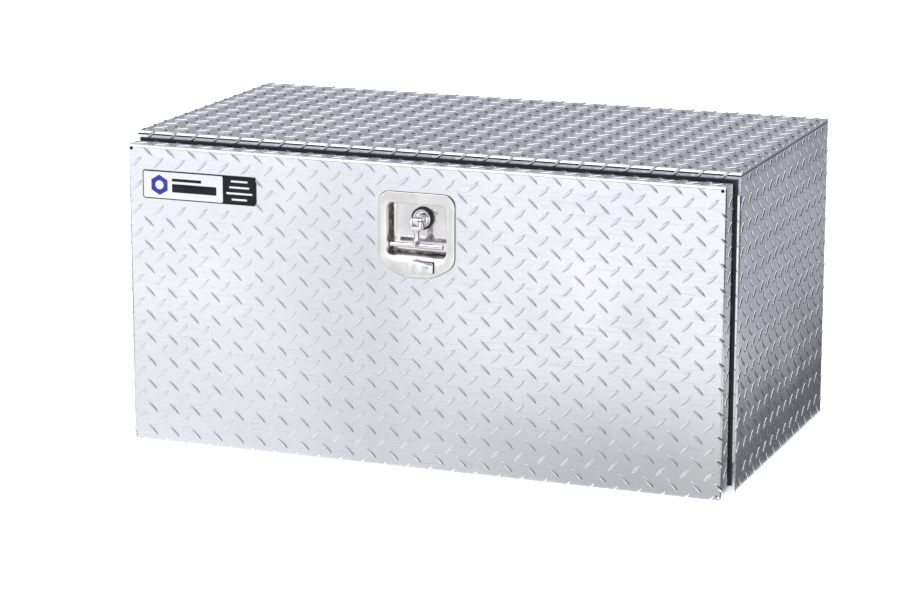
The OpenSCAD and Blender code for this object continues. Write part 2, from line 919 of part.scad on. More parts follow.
top_panel();
floor_panel();
back_panel();
mirror([1, 0, 0]) end_panel();  // left_end_panel
end_panel();  // right_end_panel
seam_welds();
striker_plate();
weatherstrip();
hinge_body_leaf();
hinge_pin();
hinge_rivets();
stay_body_brackets();
stay_body_pins();
stay_body_nuts();
door_outer_panel();
door_inner_panel();
hinge_door_leaf();
label_plate();
latch_gasket();
latch_dish();
latch_studs();
latch_nuts();
hub_seal();
latch_hub();
latch_washer();
latch_circlip();
cam_arm();
cam_nut();
handle_pin();
t_handle();
lock_cylinder();
lock_nut();
lock_plug();
lock_pawl();
pawl_screw();
dust_cover();
dust_cover_rivet();
stay_door_brackets();
stay_door_rivets();
stay_door_pins();
color("silver") mirror([1, 0, 0]) stay_arm();  // left_stay_arm
color("silver") stay_arm();  // right_stay_arm
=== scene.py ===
"""Truck tool box: tread plate, latch, welds, label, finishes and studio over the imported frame."""

import math

import bmesh
import bpy
from mathutils import Matrix, Vector


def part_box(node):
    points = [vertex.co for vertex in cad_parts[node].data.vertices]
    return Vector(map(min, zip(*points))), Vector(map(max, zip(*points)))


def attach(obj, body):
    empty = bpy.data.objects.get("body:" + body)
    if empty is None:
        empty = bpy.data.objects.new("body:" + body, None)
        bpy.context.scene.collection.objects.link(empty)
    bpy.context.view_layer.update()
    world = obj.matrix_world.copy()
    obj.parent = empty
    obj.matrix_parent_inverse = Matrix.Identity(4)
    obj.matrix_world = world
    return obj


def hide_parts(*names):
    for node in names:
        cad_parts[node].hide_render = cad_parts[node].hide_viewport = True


bl_info = {
    "name": "Truck Tool Box",
    "version": (1, 0, 0),
    "blender": (4, 5, 0),
    "location": "3D View > Sidebar > Tool Box",
    "description": "Builds the surfaces and finishes of a tread plate truck tool box",
    "category": "Object",
}

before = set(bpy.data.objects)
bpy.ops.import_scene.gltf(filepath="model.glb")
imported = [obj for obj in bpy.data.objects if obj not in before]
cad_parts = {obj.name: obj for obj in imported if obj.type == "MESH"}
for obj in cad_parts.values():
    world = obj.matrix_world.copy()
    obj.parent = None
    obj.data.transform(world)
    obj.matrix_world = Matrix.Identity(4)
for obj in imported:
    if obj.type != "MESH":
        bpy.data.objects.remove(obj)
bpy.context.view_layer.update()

RIGHT = Vector((1, 0, 0))
REAR = Vector((0, 1, 0))
UP = Vector((0, 0, 1))

BODY_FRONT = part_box("top_panel")[0].y
BODY_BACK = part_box("back_panel")[1].y
BODY_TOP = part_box("top_panel")[1].z
END_LOW, END_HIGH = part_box("right_end_panel")
HALF_W = END_HIGH.x
DOOR_LOW, DOOR_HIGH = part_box("door_outer_panel")
SEAL_FIN = 0.0028  # how far the seal's outer fin shows past the closed door
FIN_TOP = DOOR_HIGH.z + SEAL_FIN
FIN_SIDE = DOOR_HIGH.x + SEAL_FIN
FIN_CLEAR = 0.0002  # gap between the fin and the lugs beside it
DISH_LOW, DISH_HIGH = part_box("latch_dish")
LABEL_LOW, LABEL_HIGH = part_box("label_plate")
HUB_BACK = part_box("latch_hub")[1].y
SEAL_RING_LOW, SEAL_RING_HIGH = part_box("hub_seal")
HUB_Z = (SEAL_RING_LOW.z + SEAL_RING_HIGH.z) / 2
PIN_LOW, PIN_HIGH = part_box("handle_pin")
PIVOT_Y = (PIN_LOW.y + PIN_HIGH.y) / 2
FORK_SIDE = PIN_HIGH.x
HANDLE_LOW, HANDLE_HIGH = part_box("t_handle")
COVER_LOW, COVER_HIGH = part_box("dust_cover")


# Sizes and colours

def length(name, description, default):
    return bpy.props.FloatProperty(
        name=name, description=description, default=default, min=0.0, precision=5, unit="LENGTH")


def colour(name, description, default):
    return bpy.props.FloatVectorProperty(
        name=name, description=description, default=default, min=0.0, max=1.0, subtype="COLOR")


class TreadSizes(bpy.types.PropertyGroup):
    pitch: length("Pitch", "Distance between neighbouring lugs that slant the same way", 0.0348)
    lug_length: length("Lug length", "Length of a lug from tip to tip", 0.0245)
    lug_width: length("Lug width", "Width of a lug at its middle", 0.0054)
    lug_height: length("Lug height", "Height of a lug's crown above the sheet", 0.0016)
    lug_sink: length("Lug sink", "How far a lug's foot goes into the sheet", 0.0004)
    edge_margin: length("Edge margin", "Plain strip along the upper and lower edges of the ends", 0.0035)
    body_bend: length("Body bend", "Outer radius of the bends in the body's plate", 0.005)
    door_bend: length("Door bend", "Outer radius of the bends in the door's plate", 0.004)


class LatchSizes(bpy.types.PropertyGroup):
    dish_half_w: length("Dish half width", "Half the width inside the dish", 0.045)
    dish_top: length("Dish top", "Height of the top edge inside the dish", 0.3902)
    dish_bottom: length("Dish bottom", "Height of the bottom edge inside the dish", 0.3142)
    dish_corner: length("Dish corner", "Radius of the dish's corners", 0.009)
    dish_wall: length("Dish wall", "Thickness of the pressed steel", 0.0015)
    flange_shoulder: length("Flange shoulder", "Height at which the flange's sides start to slope in", 0.3032)
    flange_tip_half_w: length("Flange tip", "Half the width of the flange's lower edge", 0.024)
    hub_radius: length("Hub radius", "Radius of the hub's disc", 0.0136)
    bar_radius: length("Bar radius", "Radius of the handle's bar", 0.0035)
    stem_radius: length("Stem radius", "Radius of the handle's stem", 0.004)
    eye_radius: length("Eye radius", "Radius of the rounded tongue and fork at the pivot", 0.005)
    tongue_half_w: length("Tongue half width", "Half the width of the hub's tongue", 0.0042)
    fork_gap: length("Fork gap", "Gap between the tongue and each side of the fork", 0.0008)
    fork_slot: length("Fork slot", "Depth of the fork's slot below the pivot", 0.0075)
    fork_drop: length("Fork drop", "Depth of the fork below the pivot", 0.012)
    outline_step: length("Outline step", "How far the gasket shows round the flange", 0.0006)
    cover_radius: length("Cover radius", "Radius of the dust cover's disc", 0.011)
    cover_tab_h: length("Cover tab", "Height of the dust cover's tab", 0.016)


class LabelSizes(bpy.types.PropertyGroup):
    thickness: length("Thickness", "Thickness of the label plate", 0.0016)
    corner: length("Corner", "Radius of the label's corners", 0.004)
    border: length("Border", "Width of the dark line round the label", 0.0016)
    light_share: bpy.props.FloatProperty(
        name="Light field", description="Share of the label's width that is light",
        default=0.71, min=0.1, max=0.9)


class FinishColours(bpy.types.PropertyGroup):
    tread: colour("Tread plate", "Polished aluminium of the tread plate", (0.90, 0.905, 0.955))
    tread_shade: colour("Tread shade", "Cloudy patches of the tread plate", (0.80, 0.805, 0.865))
    sheet: colour("Plain sheet", "Mill finish aluminium inside the door", (0.78, 0.79, 0.80))
    steel: colour("Stainless steel", "Polished steel of the latch", (0.90, 0.888, 0.89))
    zinc: colour("Zinc", "Zinc plated steel of the fixings", (0.70, 0.71, 0.69))
    brass: colour("Brass", "Brass of the lock's plug", (0.80, 0.62, 0.30))
    rubber: colour("Rubber", "Black rubber of the seals", (0.012, 0.012, 0.013))
    label_light: colour("Label light", "Light field of the label", (0.80, 0.81, 0.90))
    label_dark: colour("Label dark", "Dark field and border of the label", (0.008, 0.008, 0.010))
    label_blue: colour("Label blue", "Blue emblem on the label", (0.035, 0.05, 0.36))
    floor: colour("Floor", "Studio floor", (0.92, 0.92, 0.925))


class StudioSizes(bpy.types.PropertyGroup):
    camera_place: bpy.props.FloatVectorProperty(
        name="Camera place", description="Where the camera stands",
        default=(1.6450, -4.3492, 1.2835), subtype="TRANSLATION", unit="LENGTH")
    camera_turn: bpy.props.FloatProperty(
        name="Camera turn", description="Angle of the camera to the right of straight ahead",
        default=math.radians(21.28), subtype="ANGLE")
    camera_tilt: bpy.props.FloatProperty(
        name="Camera tilt", description="Angle of the camera's view below the horizon",
        default=math.radians(13.16), subtype="ANGLE")
    camera_lens: bpy.props.FloatProperty(
        name="Lens", description="Focal length of the camera", default=128.36, unit="CAMERA")
    floor_half: length("Floor half width", "Half the width of the studio floor", 14.0)


GROUPS = {
    "box_tread": TreadSizes,
    "box_latch": LatchSizes,
    "box_label": LabelSizes,
    "box_finish": FinishColours,
    "box_studio": StudioSizes,
}


# Shader helpers

def add_node(tree, kind, inputs=None, **settings):
    """Adds a shader node; an input's value is a number, a colour or another node's output."""
    node = tree.nodes.new(kind)
    for name, value in settings.items():
        setattr(node, name, value)
    for name, value in (inputs or {}).items():
        if isinstance(value, bpy.types.NodeSocket):
            tree.links.new(value, node.inputs[name])
        else:
            node.inputs[name].default_value = value
    return node


def calculate(tree, operation, *values):
    """One step of arithmetic on numbers and node outputs."""
    node = add_node(tree, "ShaderNodeMath", dict(enumerate(values)), operation=operation)
    return node.outputs["Value"]


def blend_range(tree, source, low, high, to_low=0.0, to_high=1.0):
    """Maps a value from one range to another, clamped."""
    node = add_node(tree, "ShaderNodeMapRange", {
        "Value": source, "From Min": low, "From Max": high, "To Min": to_low, "To Max": to_high})
    return node.outputs["Result"]


def blend_colour(tree, factor, first, second, mode="MIX"):
    """Mixes two colours by a factor."""
    node = tree.nodes.new("ShaderNodeMix")
    node.data_type = "RGBA"
    node.blend_type = mode
    for name, value in (("Factor_Float", factor), ("A_Color", first), ("B_Color", second)):
        socket = next(s for s in node.inputs if s.identifier == name)
        if isinstance(value, bpy.types.NodeSocket):
            tree.links.new(value, socket)
        elif name == "Factor_Float":
            socket.default_value = value
        else:
            socket.default_value = (*tuple(value)[:3], 1.0)
    return next(s for s in node.outputs if s.identifier == "Result_Color")


def noise(tree, place, scale, detail=3.0, roughness=0.55, stretch=(1, 1, 1)):
    """A noise pattern on object coordinates, stretched where the grain runs one way."""
    spread = add_node(tree, "ShaderNodeMapping", {"Vector": place, "Scale": stretch})
    node = add_node(tree, "ShaderNodeTexNoise", {
        "Vector": spread.outputs["Vector"], "Scale": scale, "Detail": detail, "Roughness": roughness})
    return node.outputs["Fac"]


def bump(tree, height, distance, strength, normal=None):
    """A bump from a height pattern, over another bump if one is given."""
    inputs = {"Height": height, "Distance": distance, "Strength": strength}
    if normal is not None:
        inputs["Normal"] = normal
    return add_node(tree, "ShaderNodeBump", inputs).outputs["Normal"]


def start_material(name):
    """A new material with an empty Principled shader; gives the material, its tree, shader and place."""
    material = bpy.data.materials.new(name)
    material.use_nodes = True
    tree = material.node_tree
    tree.nodes.clear()
    shader = tree.nodes.new("ShaderNodeBsdfPrincipled")
    output = tree.nodes.new("ShaderNodeOutputMaterial")
    tree.links.new(shader.outputs["BSDF"], output.inputs["Surface"])
    place = tree.nodes.new("ShaderNodeTexCoord").outputs["Object"]
    return material, tree, shader, place


def surface(tree, shader, tone, rough, normal, metallic=0.0):
    """Joins a colour, a roughness and a bump to the shader."""
    tree.links.new(tone, shader.inputs["Base Color"])
    tree.links.new(rough, shader.inputs["Roughness"])
    tree.links.new(normal, shader.inputs["Normal"])
    shader.inputs["Metallic"].default_value = metallic


def metal(name, light, shade, rough, grain=(1, 1, 1), grain_scale=900.0, grain_depth=0.00002,
          cloud_scale=5.0, scratches=0.0):
    """Bare metal: cloudy colour, fine grain in the roughness and bump, and hairline scratches."""
    material, tree, shader, place = start_material(name)
    cloud = noise(tree, place, cloud_scale, 4.0)
    fine = noise(tree, place, grain_scale, 2.0, 0.6, grain)
    tone = blend_colour(tree, blend_range(tree, cloud, 0.35, 0.65), shade, light)
    lines = noise(tree, place, 260.0, 5.0, 0.7, (0.06, 1.0, 1.0))
    marks = blend_range(tree, lines, 0.60, 0.66, 0.0, scratches)
    tone = blend_colour(tree, marks, tone, tuple(c * 0.55 for c in shade))
    mixed = calculate(tree, "ADD", cloud, fine)
    dullness = blend_range(tree, mixed, 0.7, 1.3, rough[0], rough[1])
    surface(tree, shader, tone, dullness, bump(tree, fine, grain_depth, 0.5), 1.0)
    return material


# Materials

def tread_material(colours, with_crowns):
    """Bright tread plate: rolled grain, cloudy polish, handling marks; painted shade darkens the lugs' feet,
    and on the plain sheet a painted shadow lines the seam under the top sheet.
    """
    material, tree, shader, place = start_material("tread_lugs" if with_crowns else "tread_sheet")
    cloud = noise(tree, place, 3.2, 4.0)
    patch = noise(tree, place, 11.0, 3.0)
    grain = noise(tree, place, 420.0, 3.0, 0.6, (0.05, 1.0, 1.0))
    fine = noise(tree, place, 1500.0, 2.0)
    tone = blend_colour(tree, blend_range(tree, cloud, 0.35, 0.68), colours.tread_shade, colours.tread)
    streaks = blend_range(tree, grain, 0.56, 0.74, 0.0, 0.35)
    tone = blend_colour(tree, streaks, tone, tuple(c * 0.72 for c in colours.tread_shade))
    if with_crowns:
        # Painted shade: each lug is darkened at its foot, fading out halfway up to its crown
        crown = add_node(tree, "ShaderNodeAttribute", attribute_name="crown").outputs["Fac"]
        foot = blend_range(tree, crown, 0.0, 0.5, 0.5, 0.0)
        tone = blend_colour(tree, foot, tone, (0.10, 0.11, 0.13))
    else:
        # Painted shadow in the seam between an end sheet and the top sheet
        height = add_node(tree, "ShaderNodeSeparateXYZ", {"Vector": place}).outputs["Z"]
        below = blend_range(tree, height, END_HIGH.z - 0.0028, END_HIGH.z - 0.0016)
        above = blend_range(tree, height, END_HIGH.z - 0.0002, END_HIGH.z + 0.0004, 1.0, 0.0)
        seam_shadow = calculate(tree, "MULTIPLY", below, above)
        tone = blend_colour(tree, seam_shadow, tone, (0.02, 0.02, 0.025))
    mixed = calculate(tree, "ADD", patch, grain)
    low, high = (0.10, 0.24) if with_crowns else (0.16, 0.34)
    rough = blend_range(tree, mixed, 0.7, 1.3, low, high)
    rolled = bump(tree, grain, 0.00003, 0.35)
    dimpled = bump(tree, patch, 0.0012, 0.25, rolled)
    surface(tree, shader, tone, rough, bump(tree, fine, 0.00001, 0.3, dimpled), 1.0)
    return material


def dish_material(colours, latch):
    """Polished steel with painted shade, mottled a little, on the walls and in the lower corner of the dish.
    """
    shade = tuple(v * 0.86 for v in colours.steel)
    material, tree, shader, place = start_material("dish_steel")
    cloud = noise(tree, place, 30.0, 4.0)
    shade_mottle = noise(tree, place, 140.0, 4.0)
    fine = noise(tree, place, 700.0, 2.0, 0.6, (0.1, 1, 1))
    axes = add_node(tree, "ShaderNodeSeparateXYZ", {"Vector": place}).outputs
    # Painted shade: darker near the side walls and the lower wall, deeper in than the flange, mottled a
    # little by noise
    aside = calculate(tree, "ABSOLUTE", axes["X"])
    walls = blend_range(tree, aside, latch.dish_half_w - 0.003, latch.dish_half_w - 0.0005)
    low = blend_range(tree, axes["Z"], latch.dish_bottom + 0.007, latch.dish_bottom + 0.002)
    near = calculate(tree, "MAXIMUM", walls, low)
    inside = blend_range(tree, axes["Y"], DISH_LOW.y + 0.003, DISH_LOW.y + 0.010)
    reach = calculate(tree, "MULTIPLY", near, inside)
    shade_strength = blend_range(tree, shade_mottle, 0.30, 0.55, 0.65, 1.0)
    painted_shade = calculate(tree, "MULTIPLY", reach, shade_strength)
    tone = blend_colour(tree, blend_range(tree, cloud, 0.35, 0.65), shade, colours.steel)
    tone = blend_colour(tree, painted_shade, tone, (0.07, 0.063, 0.055))
    mixed = calculate(tree, "ADD", cloud, fine)
    rough = blend_range(tree, mixed, 0.7, 1.3, 0.07, 0.17)
    dull = calculate(tree, "MULTIPLY_ADD", painted_shade, 0.25, rough)
    surface(tree, shader, tone, dull, bump(tree, fine, 0.00001, 0.5), 1.0)
    return material


def weld_material(colours):
    """Weld bead: stacked ripples, duller than the plate, with a little heat colour."""
    material, tree, shader, place = start_material("weld_bead")
    cloud = noise(tree, place, 60.0, 3.0)
    ripple = noise(tree, place, 350.0, 2.0)
    tone = blend_colour(tree, blend_range(tree, cloud, 0.3, 0.7), (0.52, 0.50, 0.47), colours.sheet)
    rough = blend_range(tree, cloud, 0.3, 0.7, 0.3, 0.5)
    surface(tree, shader, tone, rough, bump(tree, ripple, 0.0006, 0.6), 1.0)
    return material


def rubber_material(colours):
    """Black rubber: dusty in patches, finely pored and dull."""
    material, tree, shader, place = start_material("seal_rubber")
    dust = noise(tree, place, 24.0, 4.0)
    pores = noise(tree, place, 900.0, 2.0)
    dusty = blend_range(tree, dust, 0.45, 0.75, 0.0, 0.5)
    tone = blend_colour(tree, dusty, colours.rubber, (0.06, 0.06, 0.06))
    rough = blend_range(tree, dust, 0.3, 0.7, 0.45, 0.7)
    surface(tree, shader, tone, rough, bump(tree, pores, 0.0002, 0.4))
    return material


def printed_material(name, tone_light, tone_dark, gloss):
    """Printed film on the label: nearly even ink with faint mottling and fine scuffs."""
    material, tree, shader, place = start_material(name)
    mottle = noise(tree, place, 90.0, 3.0)
    scuffs = noise(tree, place, 500.0, 4.0, 0.6, (0.1, 1.0, 1.0))
    tone = blend_colour(tree, blend_range(tree, mottle, 0.35, 0.65), tone_dark, tone_light)
    rough = blend_range(tree, scuffs, 0.4, 0.7, gloss, gloss + 0.2)
    surface(tree, shader, tone, rough, bump(tree, scuffs, 0.00002, 0.3))
    shader.inputs["Specular IOR Level"].default_value = 0.2
    return material


def make_finishes(scene):
    """Makes each finish once and gives them by name."""
    c = scene.box_finish
    darker = {k: tuple(v * 0.86 for v in getattr(c, k)) for k in ("sheet", "steel", "zinc", "brass")}
    return {
        "tread_sheet": tread_material(c, False),
        "tread_lugs": tread_material(c, True),
        "plain_sheet": metal("plain_sheet", c.sheet, darker["sheet"], (0.28, 0.46), (0.05, 1, 1), 500.0),
        "weld_bead": weld_material(c),
        "hinge_steel": metal("hinge_steel", c.steel, darker["steel"], (0.25, 0.42), (0.08, 1, 1), 500.0,
                             scratches=0.3),
        "pin_steel": metal("pin_steel", c.zinc, darker["zinc"], (0.18, 0.34), (1, 1, 0.1)),
        "rivet_metal": metal("rivet_metal", c.sheet, darker["sheet"], (0.22, 0.40), cloud_scale=80.0),
        "polished_steel": metal("polished_steel", c.steel, darker["steel"], (0.07, 0.17), (0.1, 1, 1),
                                700.0, 0.00001, 30.0, 0.25),
        "dish_steel": dish_material(c, scene.box_latch),
        "zinc_steel": metal("zinc_steel", c.zinc, darker["zinc"], (0.28, 0.48), cloud_scale=60.0),
        "lock_brass": metal("lock_brass", c.brass, darker["brass"], (0.20, 0.36), cloud_scale=80.0),
        "seal_rubber": rubber_material(c),
        "label_light": printed_material("label_light", c.label_light,
                                        tuple(v * 0.94 for v in c.label_light), 0.25),
        "label_dark": printed_material("label_dark", c.label_dark, (0.014, 0.014, 0.016), 0.2),
        "label_blue": printed_material("label_blue", c.label_blue,
                                       tuple(v * 0.85 for v in c.label_blue), 0.2),
    }


NODE_FINISHES = {
    "tread_sheet": ("top_panel", "floor_panel", "back_panel", "left_end_panel", "right_end_panel",
                    "door_outer_panel"),
    "plain_sheet": ("door_inner_panel", "striker_plate", "stay_body_brackets", "stay_door_brackets",
                    "left_stay_arm", "right_stay_arm"),
    "weld_bead": ("seam_welds",),
    "hinge_steel": ("hinge_body_leaf", "hinge_door_leaf"),
    "pin_steel": ("hinge_pin", "handle_pin", "latch_circlip", "stay_body_pins", "stay_door_pins",
                  "pawl_screw"),
    "rivet_metal": ("hinge_rivets", "stay_door_rivets", "dust_cover_rivet"),
    "polished_steel": ("latch_dish", "latch_hub", "t_handle", "dust_cover", "lock_cylinder"),
    "zinc_steel": ("latch_studs", "latch_nuts", "stay_body_nuts", "latch_washer", "cam_arm", "cam_nut",
                   "lock_nut", "lock_pawl"),
    "lock_brass": ("lock_plug",),
    "seal_rubber": ("weatherstrip", "latch_gasket", "hub_seal"),
    "label_light": ("label_plate",),
}


# Mesh helpers

def link_mesh(bm, name):
    """Turns a bmesh into an object in the scene."""
    mesh = bpy.data.meshes.new(name)
    bm.to_mesh(mesh)
    bm.free()
    made = bpy.data.objects.new(name, mesh)
    bpy.context.scene.collection.objects.link(made)
    return made


def finish_piece(bm, name, body, finish, replaced=(), recalc=True):
    """Turns a bmesh into a piece that rides on a body and takes its finish from a slot."""
    if recalc:
        bmesh.ops.recalc_face_normals(bm, faces=bm.faces)
    piece = link_mesh(bm, name)
    piece.data.materials.append(bpy.data.materials[finish])
    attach(piece, body)
    if replaced:
        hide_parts(*replaced)


def smooth_shade(bm, angle=math.radians(35)):
    """Smooth faces, with edges sharper than the angle kept crisp."""
    for face in bm.faces:
        face.smooth = True
    for edge in bm.edges:
        if len(edge.link_faces) == 2 and edge.calc_face_angle(0.0) > angle:
            edge.smooth = False


def frame_of(centre, across, along, out):
    """A placing matrix from local X, Y and Z directions and a centre."""
    turn = Matrix((across, along, out)).transposed().to_4x4()
    return Matrix.Translation(centre) @ turn


def facing_front(x, y, z):
    """A placing matrix at a point, for a shape that looks out of the door."""
    return frame_of(Vector((x, y, z)), RIGHT, UP, -REAR)


def edges_of(verts):
    """The edges at some vertices, each once and always in the same order."""
    return list(dict.fromkeys(e for v in verts for e in v.link_edges))


def rounded_loop(bm, half_w, half_h, radius, steps, place):
    """A rounded rectangle of edges, made from a circle whose quarters are moved apart."""
    made = bmesh.ops.create_circle(bm, cap_ends=False, segments=4 * steps, radius=radius)["verts"]
    bmesh.ops.rotate(bm, verts=made, cent=(0, 0, 0), matrix=Matrix.Rotation(math.pi / (4 * steps), 3, "Z"))
    for vert in made:
        vert.co.x += math.copysign(half_w - radius, vert.co.x)
        vert.co.y += math.copysign(half_h - radius, vert.co.y)
    bmesh.ops.transform(bm, verts=made, matrix=place)
    return edges_of(made)


def lathe(bm, profile, place, steps=32):
    """Turns a profile of (radius, height) points a full turn about local Z."""
    verts = [bm.verts.new((radius, 0.0, height)) for radius, height in profile]
    edges = [bm.edges.new(pair) for pair in zip(verts, verts[1:])]
    bmesh.ops.spin(bm, geom=verts + edges, cent=(0, 0, 0), axis=(0, 0, 1), angle=2 * math.pi,
                   steps=steps, use_merge=True, use_duplicate=False)
    made = [v for v in verts if v.is_valid]
    seen = set(made)
    for vert in made:
        for other in (edge.other_vert(vert) for edge in vert.link_edges):
            if other not in seen:
                seen.add(other)
                made.append(other)
    bmesh.ops.remove_doubles(bm, verts=made, dist=0.000001)
    made = [v for v in made if v.is_valid]
    bmesh.ops.transform(bm, verts=made, matrix=place)


def rounded_rod(bm, radius, half_length, edge, place, steps=24):
    """A solid rod along local Z with its ends rounded over."""
    turns = 4
    profile = [(0.0, -half_length)]
    for side in (-1, 1):
        for k in range(turns + 1):
            angle = math.pi / 2 * k / turns
            swing = angle if side < 0 else math.pi / 2 - angle
            profile.append((radius - edge + edge * math.sin(swing),
                            side * (half_length - edge + edge * math.cos(swing))))
    profile.append((0.0, half_length))
    lathe(bm, profile, place, steps)


def slab(bm, half_w, half_h, corner, depth, edge, place, steps=6):
    """A plate with rounded corners and softened edges; local Z points out of its face."""
    rings = []
    for inset, height in ((0.0, 0.0), (0.0, depth - edge), (0.3 * edge, depth - 0.3 * edge), (edge, depth)):
        radius = max(corner - inset, 0.0001)
        lifted = place @ Matrix.Translation((0, 0, height))
        rings.append(rounded_loop(bm, half_w - inset, half_h - inset, radius, steps, lifted))
    for low, high in zip(rings, rings[1:]):
        bmesh.ops.bridge_loops(bm, edges=low + high)
    for loop in (rings[0], rings[-1]):
        bmesh.ops.edgeloop_fill(bm, edges=loop)


# Tread plate

LUG_SEGMENTS = 12
LUG_RINGS = ((1.0, 1.0, 0.0), (0.92, 0.80, 0.55), (0.74, 0.20, 1.0))


def lug_mesh(sizes, slant):
    """One lens-shaped lug lying on the XY plane, turned to its slant, with its height as an attribute."""
    bm = bmesh.new()
    crown = bm.verts.layers.float.new("crown")
    outline = bmesh.ops.create_circle(bm, cap_ends=True, segments=LUG_SEGMENTS, radius=1.0)["verts"]
    for vert in outline:
        vert.co.y *= abs(vert.co.y)
    scale = Vector((sizes.lug_length / 2, sizes.lug_width / 2, 1.0))
    bmesh.ops.scale(bm, vec=scale, verts=outline)
    bmesh.ops.translate(bm, vec=(0, 0, -sizes.lug_sink), verts=outline)
    top = bm.faces[:]
    last = LUG_RINGS[0]
    height = -sizes.lug_sink
    for ring in LUG_RINGS[1:]:
        grown = bmesh.ops.extrude_face_region(bm, geom=top)["geom"]
        if last is not LUG_RINGS[0]:
            bmesh.ops.delete(bm, geom=top, context="FACES_ONLY")
        verts = [g for g in grown if isinstance(g, bmesh.types.BMVert)]
        top = [g for g in grown if isinstance(g, bmesh.types.BMFace)]
        bmesh.ops.scale(bm, vec=(ring[0] / last[0], ring[1] / last[1], 1.0), verts=verts)
        rise = ring[2] * sizes.lug_height
        bmesh.ops.translate(bm, vec=(0, 0, rise - height), verts=verts)
        for vert in verts:
            vert[crown] = ring[2]
        last = ring
        height = rise
    bmesh.ops.rotate(bm, verts=bm.verts, cent=(0, 0, 0), matrix=Matrix.Rotation(slant, 3, "Z"))
    bmesh.ops.recalc_face_normals(bm, faces=bm.faces)
    for face in bm.faces:
        face.smooth = True
    mesh = bpy.data.meshes.new("lug")
    bm.to_mesh(mesh)
    bm.free()
    return mesh


def trim(bm, point, outward):
    """Cuts the lugs off at a raw edge of the sheet and closes the cut."""
    geometry = bm.verts[:] + bm.edges[:] + bm.faces[:]
    cut = bmesh.ops.bisect_plane(bm, geom=geometry, dist=0.000001, plane_co=point, plane_no=outward,
                                 clear_outer=True)["geom_cut"]
    edges = [g for g in cut if isinstance(g, bmesh.types.BMEdge)]
    bmesh.ops.holes_fill(bm, edges=edges, sides=0)


def fold(along, height, start, radius):
    """Bends a flat sheet back round an edge: gives the new position and height of a point."""
    reach = abs(along) - start
    if reach <= 0:
        return along, height
    turn = reach / radius
    if turn < math.pi / 2:
        folded = start + (radius + height) * math.sin(turn)
        dropped = (radius + height) * math.cos(turn) - radius
    else:
        folded = start + radius + height
        dropped = -radius - (reach - radius * math.pi / 2)
    return math.copysign(folded, along), dropped


def lay_tread(sizes, u_range, v_range, phase, kept, shape):
    """Lays both slants of lugs over an unrolled sheet, trims them at its edges and bends them to shape."""
    bm = bmesh.new()
    bm.verts.layers.float.new("crown")
    for slant, shift in ((-math.pi / 4, 0.0), (math.pi / 4, sizes.pitch / 2)):
        lug = lug_mesh(sizes, slant)
        first_u = u_range[0] - sizes.pitch + (phase[0] + shift) % sizes.pitch
        first_v = v_range[0] - sizes.pitch + (phase[1] + shift) % sizes.pitch
        columns = int((u_range[1] - first_u) / sizes.pitch) + 2
        rows = int((v_range[1] - first_v) / sizes.pitch) + 2
        for column in range(columns):
            for row in range(rows):
                u = first_u + column * sizes.pitch
                v = first_v + row * sizes.pitch
                inside = (u_range[0] - 0.01 < u < u_range[1] + 0.01
                          and v_range[0] - 0.01 < v < v_range[1] + 0.01)
                if inside and kept(u, v):
                    step = Matrix.Translation((u, v, 0.0))
                    lug.transform(step)
                    bm.from_mesh(lug)
                    lug.transform(step.inverted())
        bpy.data.meshes.remove(lug)
    trim(bm, (u_range[0], 0, 0), (-1, 0, 0))
    trim(bm, (u_range[1], 0, 0), (1, 0, 0))
    trim(bm, (0, v_range[0], 0), (0, -1, 0))
    trim(bm, (0, v_range[1], 0), (0, 1, 0))
    for vert in bm.verts:
        vert.co = shape(vert.co)
    for face in bm.faces:
        face.smooth = True
    return bm


def everywhere(u, v):
    """Keeps every lug."""
    return True


def bend_length(radius):
    """Length of a right-angled bend's arc."""
    return radius * math.pi / 2


def level_tread(sizes, name, level, side, lip, phase):
    """Lugs on the top or the floor sheet and over its front bend, facing up or down."""
    bend = sizes.body_bend
    start = -(BODY_FRONT + bend)

    def shape(co):
        v, h = fold(co.y, co.z, start, bend) if co.y > 0 else (co.y, co.z)
        return Vector((co.x, -v, level + side * h))

    bm = lay_tread(sizes, (-HALF_W, HALF_W), (-BODY_BACK, start + lip), phase, everywhere, shape)
    finish_piece(bm, name, "body", "tread_lugs")


def top_tread(sizes):
    """Lugs on the top sheet, over its front bend and down the drip lip to the seal."""
    bend = sizes.body_bend
    lip = bend_length(bend) + (BODY_TOP - bend) - (FIN_TOP + FIN_CLEAR)
    level_tread(sizes, "top_tread", BODY_TOP, 1, lip, (0.021, 0.012))


def floor_tread(sizes):
    """Lugs under the floor sheet, up to its front bend."""
    level_tread(sizes, "floor_tread", 0.0, -1, 0.4 * bend_length(sizes.body_bend), (0.004, 0.02))


def back_tread(sizes):
    """Lugs on the back sheet."""
    low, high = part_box("back_panel")

    def shape(co):
        return Vector((co.x, BODY_BACK + co.z, co.y))

    bm = lay_tread(sizes, (low.x, high.x), (low.z, high.z), (0.017, 0.009), everywhere, shape)
    finish_piece(bm, "back_tread", "body", "tread_lugs")


def end_tread(sizes, name, side):
    """Lugs on one end sheet and over its front bend, as far as the seal."""
    bend = sizes.body_bend
    start = -(BODY_FRONT + bend)
    reach = start + bend_length(bend) + (HALF_W - bend) - (FIN_SIDE + FIN_CLEAR)
    jamb = (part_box("floor_panel")[1].z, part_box("top_panel")[0].z)
    weld_room = 0.009
    first_in = 0.013
    first_down = 0.023

    def kept(u, v):
        return u < start - weld_room or jamb[0] + weld_room < v < jamb[1] - weld_room

    def shape(co):
        u, h = fold(co.x, co.z, start, bend) if co.x > 0 else (co.x, co.z)
        return Vector((side * (HALF_W + h), -u, co.y))

    u_phase = (start + bend - first_in) + BODY_BACK
    v_range = (END_LOW.z + sizes.edge_margin, END_HIGH.z - sizes.edge_margin)
    v_phase = END_HIGH.z - first_down - v_range[0]
    bm = lay_tread(sizes, (-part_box("back_panel")[0].y, reach), v_range,
                   (u_phase, v_phase + sizes.pitch / 2), kept, shape)
    finish_piece(bm, name, "body", "tread_lugs")


